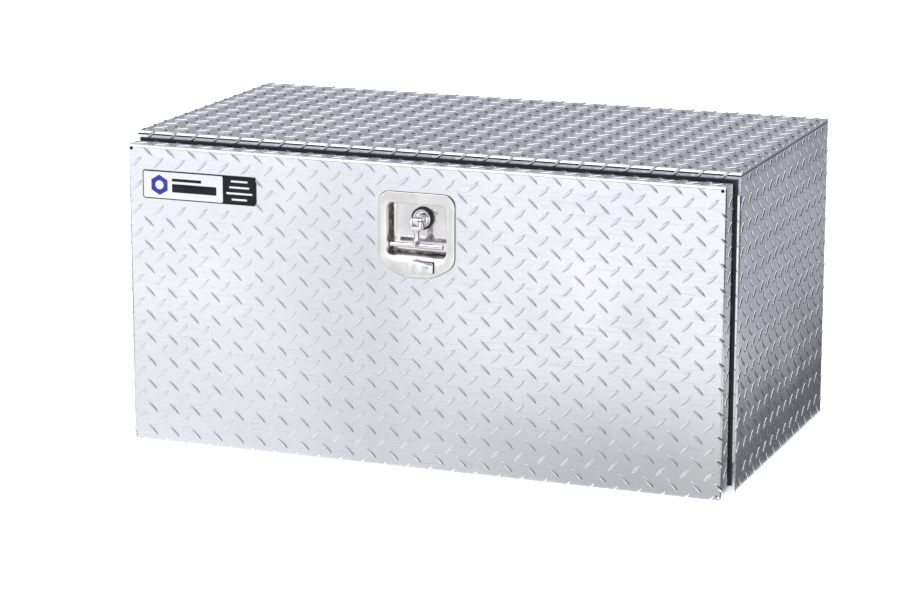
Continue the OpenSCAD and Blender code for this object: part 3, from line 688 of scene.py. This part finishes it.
def door_tread(sizes):
    """Lugs on the door's face and its returns, left out under the label and the latch."""
    bend = sizes.door_bend
    half = DOOR_HIGH.x - bend
    top = DOOR_HIGH.z - bend
    depth = DOOR_HIGH.y - DOOR_LOW.y
    reach = bend_length(bend) + depth - bend
    relief = 0.013
    bend_room = 0.006
    tip_room = 0.012
    first_in = 0.0306
    first_down = 0.0068

    def kept(u, v):
        on_label = LABEL_LOW.x < u < LABEL_HIGH.x and LABEL_LOW.z < v < LABEL_HIGH.z
        on_latch = DISH_LOW.x < u < DISH_HIGH.x and DISH_LOW.z + tip_room < v < DISH_HIGH.z
        corner = abs(u) > half - bend_room and v > top - bend_room
        hole = abs(u) > half + bend - relief and (v > top + bend - relief or v < DOOR_LOW.z + relief)
        return not (on_label or on_latch or corner or hole)

    def shape(co):
        u, h = fold(co.x, co.z, half, bend)
        v, h = fold(co.y, h, top, bend) if co.y > top else (co.y, h)
        return Vector((u, DOOR_LOW.y - h, v))

    first_u = -DOOR_HIGH.x + first_in + reach + half
    first_v = DOOR_HIGH.z - first_down - DOOR_LOW.z
    bm = lay_tread(sizes, (-half - reach, half + reach), (DOOR_LOW.z, top + reach), (first_u, first_v),
                   kept, shape)
    finish_piece(bm, "door_tread", "door", "tread_lugs")


# Welds

def weld_run(bm, start, end, radius, ripple):
    """A bead of weld between two points: a soft tube whose girth swells once a ripple."""
    span = end - start
    count = max(3, round(span.length / ripple))
    profile = [(0.0, 0.0)]
    for k in range(count):
        for share, girth in ((0.15, 0.80), (0.5, 1.0), (0.85, 0.86)):
            profile.append((radius * girth, span.length * (k + share) / count))
    profile.append((0.0, span.length))
    turn = span.to_track_quat("Z", "X").to_matrix().to_4x4()
    lathe(bm, profile, Matrix.Translation(start) @ turn, 10)


def corner_welds(sizes):
    """Short beads that join the lips to the end sheets at the four front corners."""
    bm = bmesh.new()
    low_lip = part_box("floor_panel")[1].z
    high_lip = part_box("top_panel")[0].z
    bend = sizes.body_bend
    y = BODY_FRONT + 0.0022
    radius = 0.0018
    ripple = 0.0035
    for side in (-1, 1):
        x = side * (HALF_W - 0.0008)
        for low, high in ((bend, low_lip - 0.002), (high_lip + 0.002, BODY_TOP - bend + 0.001)):
            weld_run(bm, Vector((x, y, low)), Vector((x, y, high)), radius, ripple)
    smooth_shade(bm, math.radians(60))
    finish_piece(bm, "corner_welds", "body", "weld_bead")


def seal_fin():
    """The seal's outer fin, a thin rubber strip that shows round the top and sides of the closed door."""
    bm = bmesh.new()
    thick = 0.0018
    corner = 0.0008
    soft = 0.0006
    behind_door = 0.004
    foot = DOOR_LOW.z + 0.010
    half_w = (SEAL_FIN + behind_door) / 2
    place = facing_front(0, BODY_FRONT, FIN_TOP - half_w)
    slab(bm, FIN_SIDE, half_w, corner, thick, soft, place, 3)
    half_h = (FIN_TOP - 2 * half_w - foot) / 2
    for side in (-1, 1):
        place = facing_front(side * (FIN_SIDE - half_w), BODY_FRONT, foot + half_h)
        slab(bm, half_w, half_h, corner, thick, soft, place, 3)
    smooth_shade(bm, math.radians(40))
    finish_piece(bm, "seal_fin", "body", "seal_rubber")


# Latch

def flange_loop(bm, latch, inset, y, steps=5):
    """The flange's outline: a rectangle with round upper corners and a lower edge that slopes in."""
    half_w = DISH_HIGH.x - inset
    top = DISH_HIGH.z - inset
    bottom = DISH_LOW.z + inset
    tip = latch.flange_tip_half_w - 0.27 * inset
    shoulder = latch.flange_shoulder + 0.58 * inset
    corners = ((-half_w, shoulder), (-tip, bottom), (tip, bottom), (half_w, shoulder), (half_w, top),
               (-half_w, top))
    before = set(bm.faces)
    verts = [bm.verts.new((x, y, z)) for x, z in corners]
    bm.faces.new(verts)
    rounding = (0.012, 0.014, 0.014, 0.012, 0.016, 0.016)
    for vert, radius in zip(verts, rounding):
        bmesh.ops.bevel(bm, geom=[vert], offset=radius, offset_type="OFFSET", affect="VERTICES",
                        segments=steps, profile=0.5, material=-1, clamp_overlap=True)
    face = next(f for f in bm.faces if f not in before)
    edges = face.edges[:]
    bmesh.ops.delete(bm, geom=[face], context="FACES_ONLY")
    return edges


def dish_rings(latch, front):
    """Inset, depth and corner radius of each ring from the flange's face to the dish's floor."""
    floor = SEAL_RING_HIGH.y
    rim = 0.0013
    foot = 0.004
    rings = []
    for k in range(5):
        angle = math.pi / 2 * k / 4
        rings.append((-rim + rim * math.sin(angle), front + rim - rim * math.cos(angle)))
    rings.append((0.0, floor - foot))
    for k in range(1, 5):
        angle = math.pi / 2 * k / 4
        rings.append((foot - foot * math.cos(angle), floor - foot + foot * math.sin(angle)))
    return rings


def latch_dish(latch):
    """The pressed dish: a flange with rolled edges, round-cornered walls and a flat floor."""
    bm = bmesh.new()
    front = DISH_LOW.y
    back = front + latch.dish_wall
    step = latch.outline_step
    flange = ((step, back), (step, front + 0.0006), (step + 0.00025, front + 0.0002),
              (step + 0.0008, front), (step + 0.0013, front))
    outline = [flange_loop(bm, latch, inset, y) for inset, y in flange]
    for low, high in zip(outline, outline[1:]):
        bmesh.ops.bridge_loops(bm, edges=low + high)
    middle_z = (latch.dish_top + latch.dish_bottom) / 2
    half_h = (latch.dish_top - latch.dish_bottom) / 2
    walls = []
    for inset, y in dish_rings(latch, front):
        place = facing_front(0, y, middle_z)
        radius = max(latch.dish_corner - inset, 0.002)
        walls.append(rounded_loop(bm, latch.dish_half_w - inset, half_h - inset, radius, 6, place))
    bmesh.ops.triangle_fill(bm, use_beauty=True, edges=outline[-1] + walls[0], normal=(0, -1, 0))
    for low, high in zip(walls, walls[1:]):
        bmesh.ops.bridge_loops(bm, edges=low + high)
    bmesh.ops.edgeloop_fill(bm, edges=walls[-1])
    bmesh.ops.remove_doubles(bm, verts=bm.verts, dist=0.000002)
    bmesh.ops.recalc_face_normals(bm, faces=bm.faces)
    face_front(bm)
    smooth_shade(bm, math.radians(40))
    finish_piece(bm, "latch_dish_pressed", "door", "dish_steel",
                        ("latch_dish",), recalc=False)


def latch_gasket(latch):
    """The rubber gasket that shows as a thin dark line round the flange."""
    bm = bmesh.new()
    low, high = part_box("latch_gasket")
    outline = [flange_loop(bm, latch, 0.0, y) for y in (high.y, low.y)]
    middle_z = (latch.dish_top + latch.dish_bottom) / 2
    half_w = latch.dish_half_w + latch.dish_wall
    half_h = (latch.dish_top - latch.dish_bottom) / 2 + latch.dish_wall
    holes = []
    for y in (high.y, low.y):
        place = facing_front(0, y, middle_z)
        holes.append(rounded_loop(bm, half_w, half_h, latch.dish_corner, 6, place))
    for first, second in (outline, holes):
        bmesh.ops.bridge_loops(bm, edges=first + second)
    for first, second in zip(outline, holes):
        bmesh.ops.triangle_fill(bm, use_beauty=True, edges=first + second, normal=(0, -1, 0))
    finish_piece(bm, "latch_gasket_cut", "door", "seal_rubber", ("latch_gasket",))


def face_front(bm):
    """Turns an open pressing so that its largest face looks out of the door."""
    largest = max(bm.faces, key=lambda f: f.calc_area())
    if largest.normal.y > 0:
        bmesh.ops.reverse_faces(bm, faces=bm.faces)


def t_handle(latch):
    """The T-handle: a round bar, a stem that flares into it and the fork at its end."""
    bm = bmesh.new()
    bar_z = HANDLE_LOW.z + latch.bar_radius
    y = (HANDLE_LOW.y + HANDLE_HIGH.y) / 2
    half = (HANDLE_HIGH.x - HANDLE_LOW.x) / 2
    across = frame_of(Vector((0, y, bar_z)), REAR, UP, RIGHT)
    rounded_rod(bm, latch.bar_radius, half, 0.0012, across)
    stem = HUB_Z - latch.fork_drop - bar_z
    r = latch.stem_radius
    profile = [(0.0, -0.0005), (1.5 * r, -0.0005), (1.4 * r, 0.0022), (1.15 * r, 0.0050), (r, 0.0080),
               (0.98 * r, stem - 0.005), (1.15 * r, stem - 0.002), (1.5 * r, stem + 0.0005),
               (0.0, stem + 0.001)]
    lathe(bm, profile, Matrix.Translation((0, y, bar_z)), 24)
    fork(bm, latch, y)
    smooth_shade(bm, math.radians(45))
    finish_piece(bm, "t_handle_cast", "handle", "polished_steel", ("t_handle",))


def fork(bm, latch, y):
    """The fork at the stem's end: one round-cornered block, slotted for the hub's tongue."""
    top = latch.eye_radius
    half_h = (top + latch.fork_drop) / 2
    inner = latch.tongue_half_w + latch.fork_gap
    for side in (-1, 1):
        centre = Vector((side * inner, y, HUB_Z + top - half_h))
        place = frame_of(centre, REAR, UP, side * RIGHT)
        slab(bm, latch.eye_radius, half_h, latch.eye_radius * 0.94, FORK_SIDE - inner, 0.0012, place)
    bridge = (latch.fork_drop - latch.fork_slot) / 2
    place = facing_front(0, y + latch.eye_radius, HUB_Z - latch.fork_slot - bridge)
    slab(bm, FORK_SIDE - 0.0006, bridge, 0.0016, 2 * latch.eye_radius, 0.0010, place, 4)


def latch_hub(latch):
    """The hub: a domed disc, a round-ended tongue that the handle's fork straddles, and the shaft behind."""
    bm = bmesh.new()
    seal_front = SEAL_RING_LOW.y
    face = seal_front - 0.0025
    out = facing_front(0, seal_front, HUB_Z)
    r = latch.hub_radius
    off_seal = 0.00003
    disc = [(0.0, off_seal), (r, off_seal), (r, 0.0012), (0.97 * r, 0.0021), (0.90 * r, 0.0026),
            (0.84 * r, 0.0026), (0.80 * r, 0.0019), (0.74 * r, 0.0017), (0.70 * r, 0.0022),
            (0.3 * r, 0.0027), (0.0, 0.0028)]
    lathe(bm, disc, out, 40)
    tip = latch.eye_radius
    half_reach = (face + 0.001 - PIVOT_Y + tip) / 2
    place = frame_of(Vector((-latch.tongue_half_w, PIVOT_Y - tip + half_reach, HUB_Z)), REAR, UP, RIGHT)
    slab(bm, half_reach, tip, tip * 0.96, 2 * latch.tongue_half_w, 0.0006, place)
    back = frame_of(Vector((0, seal_front, HUB_Z)), RIGHT, -UP, REAR)
    length_back = HUB_BACK - seal_front
    shank = [(0.0, -0.001), (0.006, -0.001), (0.006, length_back - 0.012), (0.004, length_back - 0.012),
             (0.004, length_back - 0.0006), (0.0034, length_back), (0.0, length_back)]
    lathe(bm, shank, back, 24)
    smooth_shade(bm, math.radians(40))
    finish_piece(bm, "latch_hub_domed", "latch", "polished_steel", ("latch_hub",))


def dust_cover(latch):
    """The dust cover: a soft-edged disc over the keyway with a square tab on its pivot."""
    bm = bmesh.new()
    back = COVER_HIGH.y
    depth = COVER_HIGH.y - COVER_LOW.y
    z = (COVER_LOW.z + COVER_HIGH.z) / 2
    r = latch.cover_radius
    out = facing_front(0, back, z)
    disc = [(0.0, 0.0), (r, 0.0), (r, depth * 0.6), (r - 0.0003, depth * 0.9), (r - 0.0009, depth),
            (0.0, depth + 0.0003)]
    lathe(bm, disc, out, 40)
    tab_start = 0.003
    tab_half = (COVER_HIGH.x - tab_start) / 2
    place = facing_front(tab_start + tab_half, back, z)
    slab(bm, tab_half, latch.cover_tab_h / 2, 0.0015, depth, 0.0004, place, 4)
    smooth_shade(bm, math.radians(40))
    finish_piece(bm, "dust_cover_pressed", "cover", "polished_steel", ("dust_cover",))


def cover_shade_pad(latch):
    """A black rubber pad behind the dust cover, a little larger than its tab, so that a dark rim shows at the
    tab's edges as painted shade.
    """
    bm = bmesh.new()
    z = (COVER_LOW.z + COVER_HIGH.z) / 2
    start = 0.004
    past = 0.0006
    half_w = (COVER_HIGH.x + past - start) / 2
    place = facing_front(start + half_w, COVER_HIGH.y + 0.0004, z + 0.0003)
    slab(bm, half_w, latch.cover_tab_h / 2 + past, 0.0016, 0.0007, 0.0002, place, 4)
    smooth_shade(bm, math.radians(40))
    finish_piece(bm, "cover_shade_pad", "cover", "seal_rubber")


# Label

def label(sizes):
    """The label: a dark-edged plate with a light field, a dark field and plain shapes, and no lettering."""
    bm = bmesh.new()
    centre = (LABEL_LOW + LABEL_HIGH) / 2
    half_w = (LABEL_HIGH.x - LABEL_LOW.x) / 2
    half_h = (LABEL_HIGH.z - LABEL_LOW.z) / 2
    base = facing_front(centre.x, DOOR_LOW.y, centre.z)
    slab(bm, half_w, half_h, sizes.corner, sizes.thickness, 0.0003, base, 5)
    smooth_shade(bm)
    finish_piece(bm, "label_backing", "door", "label_dark", ("label_plate",))
    split = LABEL_LOW.x + sizes.light_share * (LABEL_HIGH.x - LABEL_LOW.x)
    front = DOOR_LOW.y - sizes.thickness
    print_label(sizes, split, centre, half_h, front)
    print_emblem(sizes, split, centre, front)


PRINT = 0.00008  # thickness of the print on the label


def inlay(bm, low, high, z, half_h, corner, front):
    """A thin printed patch between two x positions."""
    place = facing_front((low + high) / 2, front, z)
    slab(bm, (high - low) / 2, half_h, corner, PRINT, PRINT * 0.5, place, 3)


def print_label(sizes, split, centre, half_h, front):
    """The light field on the left and the ruled lines on the dark field."""
    bm = bmesh.new()
    edge = sizes.border
    inlay(bm, LABEL_LOW.x + edge, split, centre.z, half_h - edge, sizes.corner - edge, front)
    dark_w = LABEL_HIGH.x - split
    middle = split + dark_w / 2
    row_step = 0.0088
    rule_half_h = 0.0014
    for row, share in enumerate((0.50, 0.60, 0.78, 0.46)):
        z = centre.z + (1.5 - row) * row_step
        inlay(bm, middle - share * dark_w / 2, middle + share * dark_w / 2, z, rule_half_h, 0.0006, front)
    smooth_shade(bm)
    finish_piece(bm, "label_light_print", "door", "label_light")


def print_emblem(sizes, split, centre, front):
    """A plain blue hexagon nut and two plain bars on the light field."""
    bm = bmesh.new()
    x = LABEL_LOW.x + 0.027
    nut_radius = 0.0150
    hole_radius = 0.0066
    place = facing_front(x, front - PRINT, centre.z)
    outer = bmesh.ops.create_circle(bm, cap_ends=False, segments=6, radius=nut_radius)["verts"]
    inner = bmesh.ops.create_circle(bm, cap_ends=False, segments=24, radius=hole_radius)["verts"]
    bmesh.ops.triangle_fill(bm, use_beauty=True, edges=edges_of(outer + inner), normal=(0, 0, 1))
    grown = bmesh.ops.extrude_face_region(bm, geom=bm.faces[:])["geom"]
    raised = [g for g in grown if isinstance(g, bmesh.types.BMVert)]
    bmesh.ops.translate(bm, vec=(0, 0, PRINT), verts=raised)
    bmesh.ops.transform(bm, verts=bm.verts, matrix=place)
    finish_piece(bm, "label_blue_print", "door", "label_blue")
    bm = bmesh.new()
    inlay(bm, x + 0.020, split - 0.010, centre.z - 0.0035, 0.0062, 0.0010, front - PRINT)
    inlay(bm, x + 0.020, split - 0.034, centre.z + 0.0085, 0.0022, 0.0008, front - PRINT)
    smooth_shade(bm)
    finish_piece(bm, "label_dark_print", "door", "label_dark")


# Studio

def studio_floor(scene):
    """A pale floor that the box stands on."""
    sizes = scene.box_studio
    bm = bmesh.new()
    bmesh.ops.create_grid(bm, x_segments=2, y_segments=2, size=sizes.floor_half)
    level = -scene.box_tread.lug_height
    bmesh.ops.translate(bm, vec=(0, 0, level), verts=bm.verts)
    floor = link_mesh(bm, "studio_floor")
    material, tree, shader, place = start_material("studio_floor")
    shade = noise(tree, place, 2.0, 2.0)
    tone = blend_colour(tree, blend_range(tree, shade, 0.3, 0.7), scene.box_finish.floor, (0.95, 0.95, 0.955))
    tree.links.new(tone, shader.inputs["Base Color"])
    shader.inputs["Roughness"].default_value = 0.9
    shader.inputs["Specular IOR Level"].default_value = 0.1
    shader.inputs["Emission Color"].default_value = (1.0, 1.0, 1.0, 1.0)
    shader.inputs["Emission Strength"].default_value = 0.60
    floor.data.materials.append(material)


def reflector(name, low, high, turn, tone):
    """A card that only reflections see; tone makes its brightness from the place on it."""
    bm = bmesh.new()
    bmesh.ops.create_grid(bm, x_segments=1, y_segments=1, size=0.5)
    bmesh.ops.rotate(bm, verts=bm.verts, cent=(0, 0, 0), matrix=Matrix.Rotation(turn, 3, "Y"))
    bmesh.ops.scale(bm, vec=high - low, verts=bm.verts)
    bmesh.ops.translate(bm, vec=(low + high) / 2, verts=bm.verts)
    card = link_mesh(bm, name)
    material, tree, shader, place = start_material(name)
    axes = add_node(tree, "ShaderNodeSeparateXYZ", {"Vector": place})
    tree.links.new(tone(tree, axes.outputs), shader.inputs["Emission Color"])
    shader.inputs["Base Color"].default_value = (0.0, 0.0, 0.0, 1.0)
    shader.inputs["Roughness"].default_value = 1.0
    shader.inputs["Specular IOR Level"].default_value = 0.0
    shader.inputs["Emission Strength"].default_value = 1.0
    card.data.materials.append(material)
    card.visible_camera = False
    card.visible_diffuse = False
    card.visible_shadow = False


def front_tone(tree, axes):
    """Dimmer close to the box and to the right; further out a soft dim band left of the middle."""
    slant = calculate(tree, "MULTIPLY_ADD", axes["Y"], -0.39, axes["X"])
    close = blend_range(tree, slant, -0.31, 0.40, 1.00, 0.56)
    aside = calculate(tree, "ABSOLUTE", calculate(tree, "ADD", slant, 0.03))
    away = blend_range(tree, aside, 0.0, 0.28, 0.78, 1.08)
    return blend_colour(tree, blend_range(tree, axes["Y"], -0.45, -1.05), close, away)


def right_tone(tree, axes):
    """Dark close to the box, light beside it and grey towards the back."""
    edge = blend_range(tree, axes["X"], 0.58, 0.78)
    depth = blend_range(tree, axes["Y"], 0.45, 0.85)
    beyond = blend_colour(tree, depth, (0.95, 0.95, 0.98), (0.50, 0.50, 0.54))
    return blend_colour(tree, edge, (0.13, 0.13, 0.14), beyond)


def side_tone(tree, axes):
    """Dark all over, a little lighter towards the floor."""
    return blend_colour(tree, blend_range(tree, axes["Z"], 0.0, 0.25), (0.10, 0.10, 0.11), (0.02, 0.02, 0.02))


def rear_tone(tree, axes):
    """Grey beside the box, paler further back."""
    return blend_colour(tree, blend_range(tree, axes["Y"], 0.3, 1.6), (0.42, 0.42, 0.45), (0.72, 0.72, 0.75))


def left_tone(tree, axes):
    """Grey beside the box, dark further out."""
    near = blend_range(tree, axes["X"], -0.95, -0.47)
    return blend_colour(tree, near, (0.10, 0.10, 0.11), (0.55, 0.55, 0.58))


def studio_cards():
    """Graded cards on the floor all round the box, and a dark one standing at the right."""
    flat = 0.0
    upright = math.pi / 2
    for name, low, high, turn, tone in (
            ("front_card", (-2.6, -3.4, 0.002), (2.2, -0.262, 0.003), flat, front_tone),
            ("right_card", (0.462, -0.26, 0.002), (3.2, 5.0, 0.003), flat, right_tone),
            ("side_card", (1.30, -0.5, 0.01), (1.301, 4.5, 1.3), upright, side_tone),
            ("left_card", (-3.2, -0.75, 0.004), (-0.95, 2.5, 0.005), flat, side_tone),
            ("left_near_card", (-0.95, -0.25, 0.002), (-0.465, 2.5, 0.003), flat, left_tone),
            ("rear_card", (-0.465, 0.265, 0.002), (0.462, 4.0, 0.003), flat, rear_tone)):
        reflector(name, Vector(low), Vector(high), turn, tone)


def studio_lights(scene):
    """A broad soft key from the front left and a surround with a dark right, a bright ceiling and left."""
    key = bpy.data.lights.new("key", "SUN")
    key.energy = 1.0
    key.angle = math.radians(50)
    add_light(scene, key, Vector((-2.0, -3.2, 4.6)))
    world = bpy.data.worlds.new("studio")
    scene.world = world
    world.use_nodes = True
    tree = world.node_tree
    tree.nodes.clear()
    place = tree.nodes.new("ShaderNodeTexCoord").outputs["Generated"]
    height = add_node(tree, "ShaderNodeSeparateXYZ", {"Vector": place}).outputs["Z"]
    dark = (0.03, 0.03, 0.035)
    tone = blend_colour(tree, blend_range(tree, height, 0.25, 0.33), (0.42, 0.42, 0.45), dark)
    for towards, outer, inner, glow in (((0.86, 0.48, 0.17), 0.75, 0.90, dark),
                                        ((0.25, 0.25, 1.0), 0.56, 0.70, (1.4, 1.4, 1.42)),
                                        ((-0.90, -0.43, 0.0), 0.72, 0.90, (1.0, 1.0, 1.03))):
        facing = add_node(tree, "ShaderNodeVectorMath", {0: place, 1: towards}, operation="DOT_PRODUCT")
        tone = blend_colour(tree, blend_range(tree, facing.outputs["Value"], outer, inner), tone, glow)
    background = add_node(tree, "ShaderNodeBackground", {"Color": tone, "Strength": 1.0})
    output = tree.nodes.new("ShaderNodeOutputWorld")
    tree.links.new(background.outputs["Background"], output.inputs["Surface"])


def add_light(scene, data, place):
    """Hangs a light at a place, turned towards the box."""
    lamp = bpy.data.objects.new(data.name, data)
    scene.collection.objects.link(lamp)
    lamp.location = place
    lamp.rotation_euler = (-place).to_track_quat("-Z", "Y").to_euler()
    return lamp


def studio_camera(scene):
    """The camera, at the viewing angle of the reference."""
    sizes = scene.box_studio
    data = bpy.data.cameras.new("camera")
    data.sensor_width = 36.0
    data.lens = sizes.camera_lens
    data.clip_end = 100.0
    camera = bpy.data.objects.new("camera", data)
    scene.collection.objects.link(camera)
    camera.location = sizes.camera_place
    camera.rotation_euler = (math.pi / 2 - sizes.camera_tilt, 0.0, sizes.camera_turn)
    scene.camera = camera


# Operators

class BOX_OT_finishes(bpy.types.Operator):
    """Makes the finishes and puts them on the carried-over parts"""
    bl_idname = "box.finishes"
    bl_label = "Finishes"

    def execute(self, context):
        finishes = make_finishes(context.scene)
        for finish, names in NODE_FINISHES.items():
            for name in names:
                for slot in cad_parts[name].material_slots:
                    slot.material = finishes[finish]
        return {"FINISHED"}


class BOX_OT_tread(bpy.types.Operator):
    """Lays the raised lugs on every outer sheet"""
    bl_idname = "box.tread"
    bl_label = "Tread lugs"

    def execute(self, context):
        sizes = context.scene.box_tread
        door_tread(sizes)
        top_tread(sizes)
        end_tread(sizes, "left_end_tread", -1)
        end_tread(sizes, "right_end_tread", 1)
        back_tread(sizes)
        floor_tread(sizes)
        return {"FINISHED"}


class BOX_OT_corner_welds(bpy.types.Operator):
    """Adds the seal's outer fin and the short welds at the body's front corners"""
    bl_idname = "box.corner_welds"
    bl_label = "Seal fin and corner welds"

    def execute(self, context):
        seal_fin()
        corner_welds(context.scene.box_tread)
        return {"FINISHED"}


class BOX_OT_latch_dish(bpy.types.Operator):
    """Presses the latch's dish and cuts its gasket"""
    bl_idname = "box.latch_dish"
    bl_label = "Latch dish"

    def execute(self, context):
        latch_dish(context.scene.box_latch)
        latch_gasket(context.scene.box_latch)
        return {"FINISHED"}


class BOX_OT_handle(bpy.types.Operator):
    """Makes the T-handle and the hub that carries it"""
    bl_idname = "box.handle"
    bl_label = "Handle and hub"

    def execute(self, context):
        t_handle(context.scene.box_latch)
        latch_hub(context.scene.box_latch)
        return {"FINISHED"}


class BOX_OT_dust_cover(bpy.types.Operator):
    """Makes the cover that swings over the keyway"""
    bl_idname = "box.dust_cover"
    bl_label = "Dust cover"

    def execute(self, context):
        dust_cover(context.scene.box_latch)
        cover_shade_pad(context.scene.box_latch)
        return {"FINISHED"}


class BOX_OT_label(bpy.types.Operator):
    """Makes the plain label plate"""
    bl_idname = "box.label"
    bl_label = "Label"

    def execute(self, context):
        label(context.scene.box_label)
        return {"FINISHED"}


class BOX_OT_studio(bpy.types.Operator):
    """Sets up the floor, the light and the camera"""
    bl_idname = "box.studio"
    bl_label = "Studio"

    def execute(self, context):
        scene = context.scene
        scene.view_settings.view_transform = "Standard"
        studio_floor(scene)
        studio_lights(scene)
        studio_camera(scene)
        studio_cards()
        return {"FINISHED"}


OPERATORS = (BOX_OT_finishes, BOX_OT_tread, BOX_OT_corner_welds, BOX_OT_latch_dish, BOX_OT_handle,
             BOX_OT_dust_cover, BOX_OT_label, BOX_OT_studio)


class BOX_PT_build(bpy.types.Panel):
    """Lists the steps that build the tool box"""
    bl_idname = "BOX_PT_build"
    bl_label = "Truck Tool Box"
    bl_space_type = "VIEW_3D"
    bl_region_type = "UI"
    bl_category = "Tool Box"

    def draw(self, context):
        for operator in OPERATORS:
            self.layout.operator(operator.bl_idname)
        for name in GROUPS:
            group = getattr(context.scene, name)
            column = self.layout.column()
            for size in group.__annotations__:
                column.prop(group, size)


def register():
    for group in GROUPS.values():
        bpy.utils.register_class(group)
    for name, group in GROUPS.items():
        setattr(bpy.types.Scene, name, bpy.props.PointerProperty(type=group))
    for operator in OPERATORS:
        bpy.utils.register_class(operator)
    bpy.utils.register_class(BOX_PT_build)


def unregister():
    bpy.utils.unregister_class(BOX_PT_build)
    for operator in reversed(OPERATORS):
        bpy.utils.unregister_class(operator)
    for name in GROUPS:
        delattr(bpy.types.Scene, name)
    for group in reversed(list(GROUPS.values())):
        bpy.utils.unregister_class(group)


def main():
    register()
    bpy.ops.box.finishes()
    bpy.ops.box.tread()
    bpy.ops.box.corner_welds()
    bpy.ops.box.latch_dish()
    bpy.ops.box.handle()
    bpy.ops.box.dust_cover()
    bpy.ops.box.label()
    bpy.ops.box.studio()


if __name__ == "__main__":
    main()
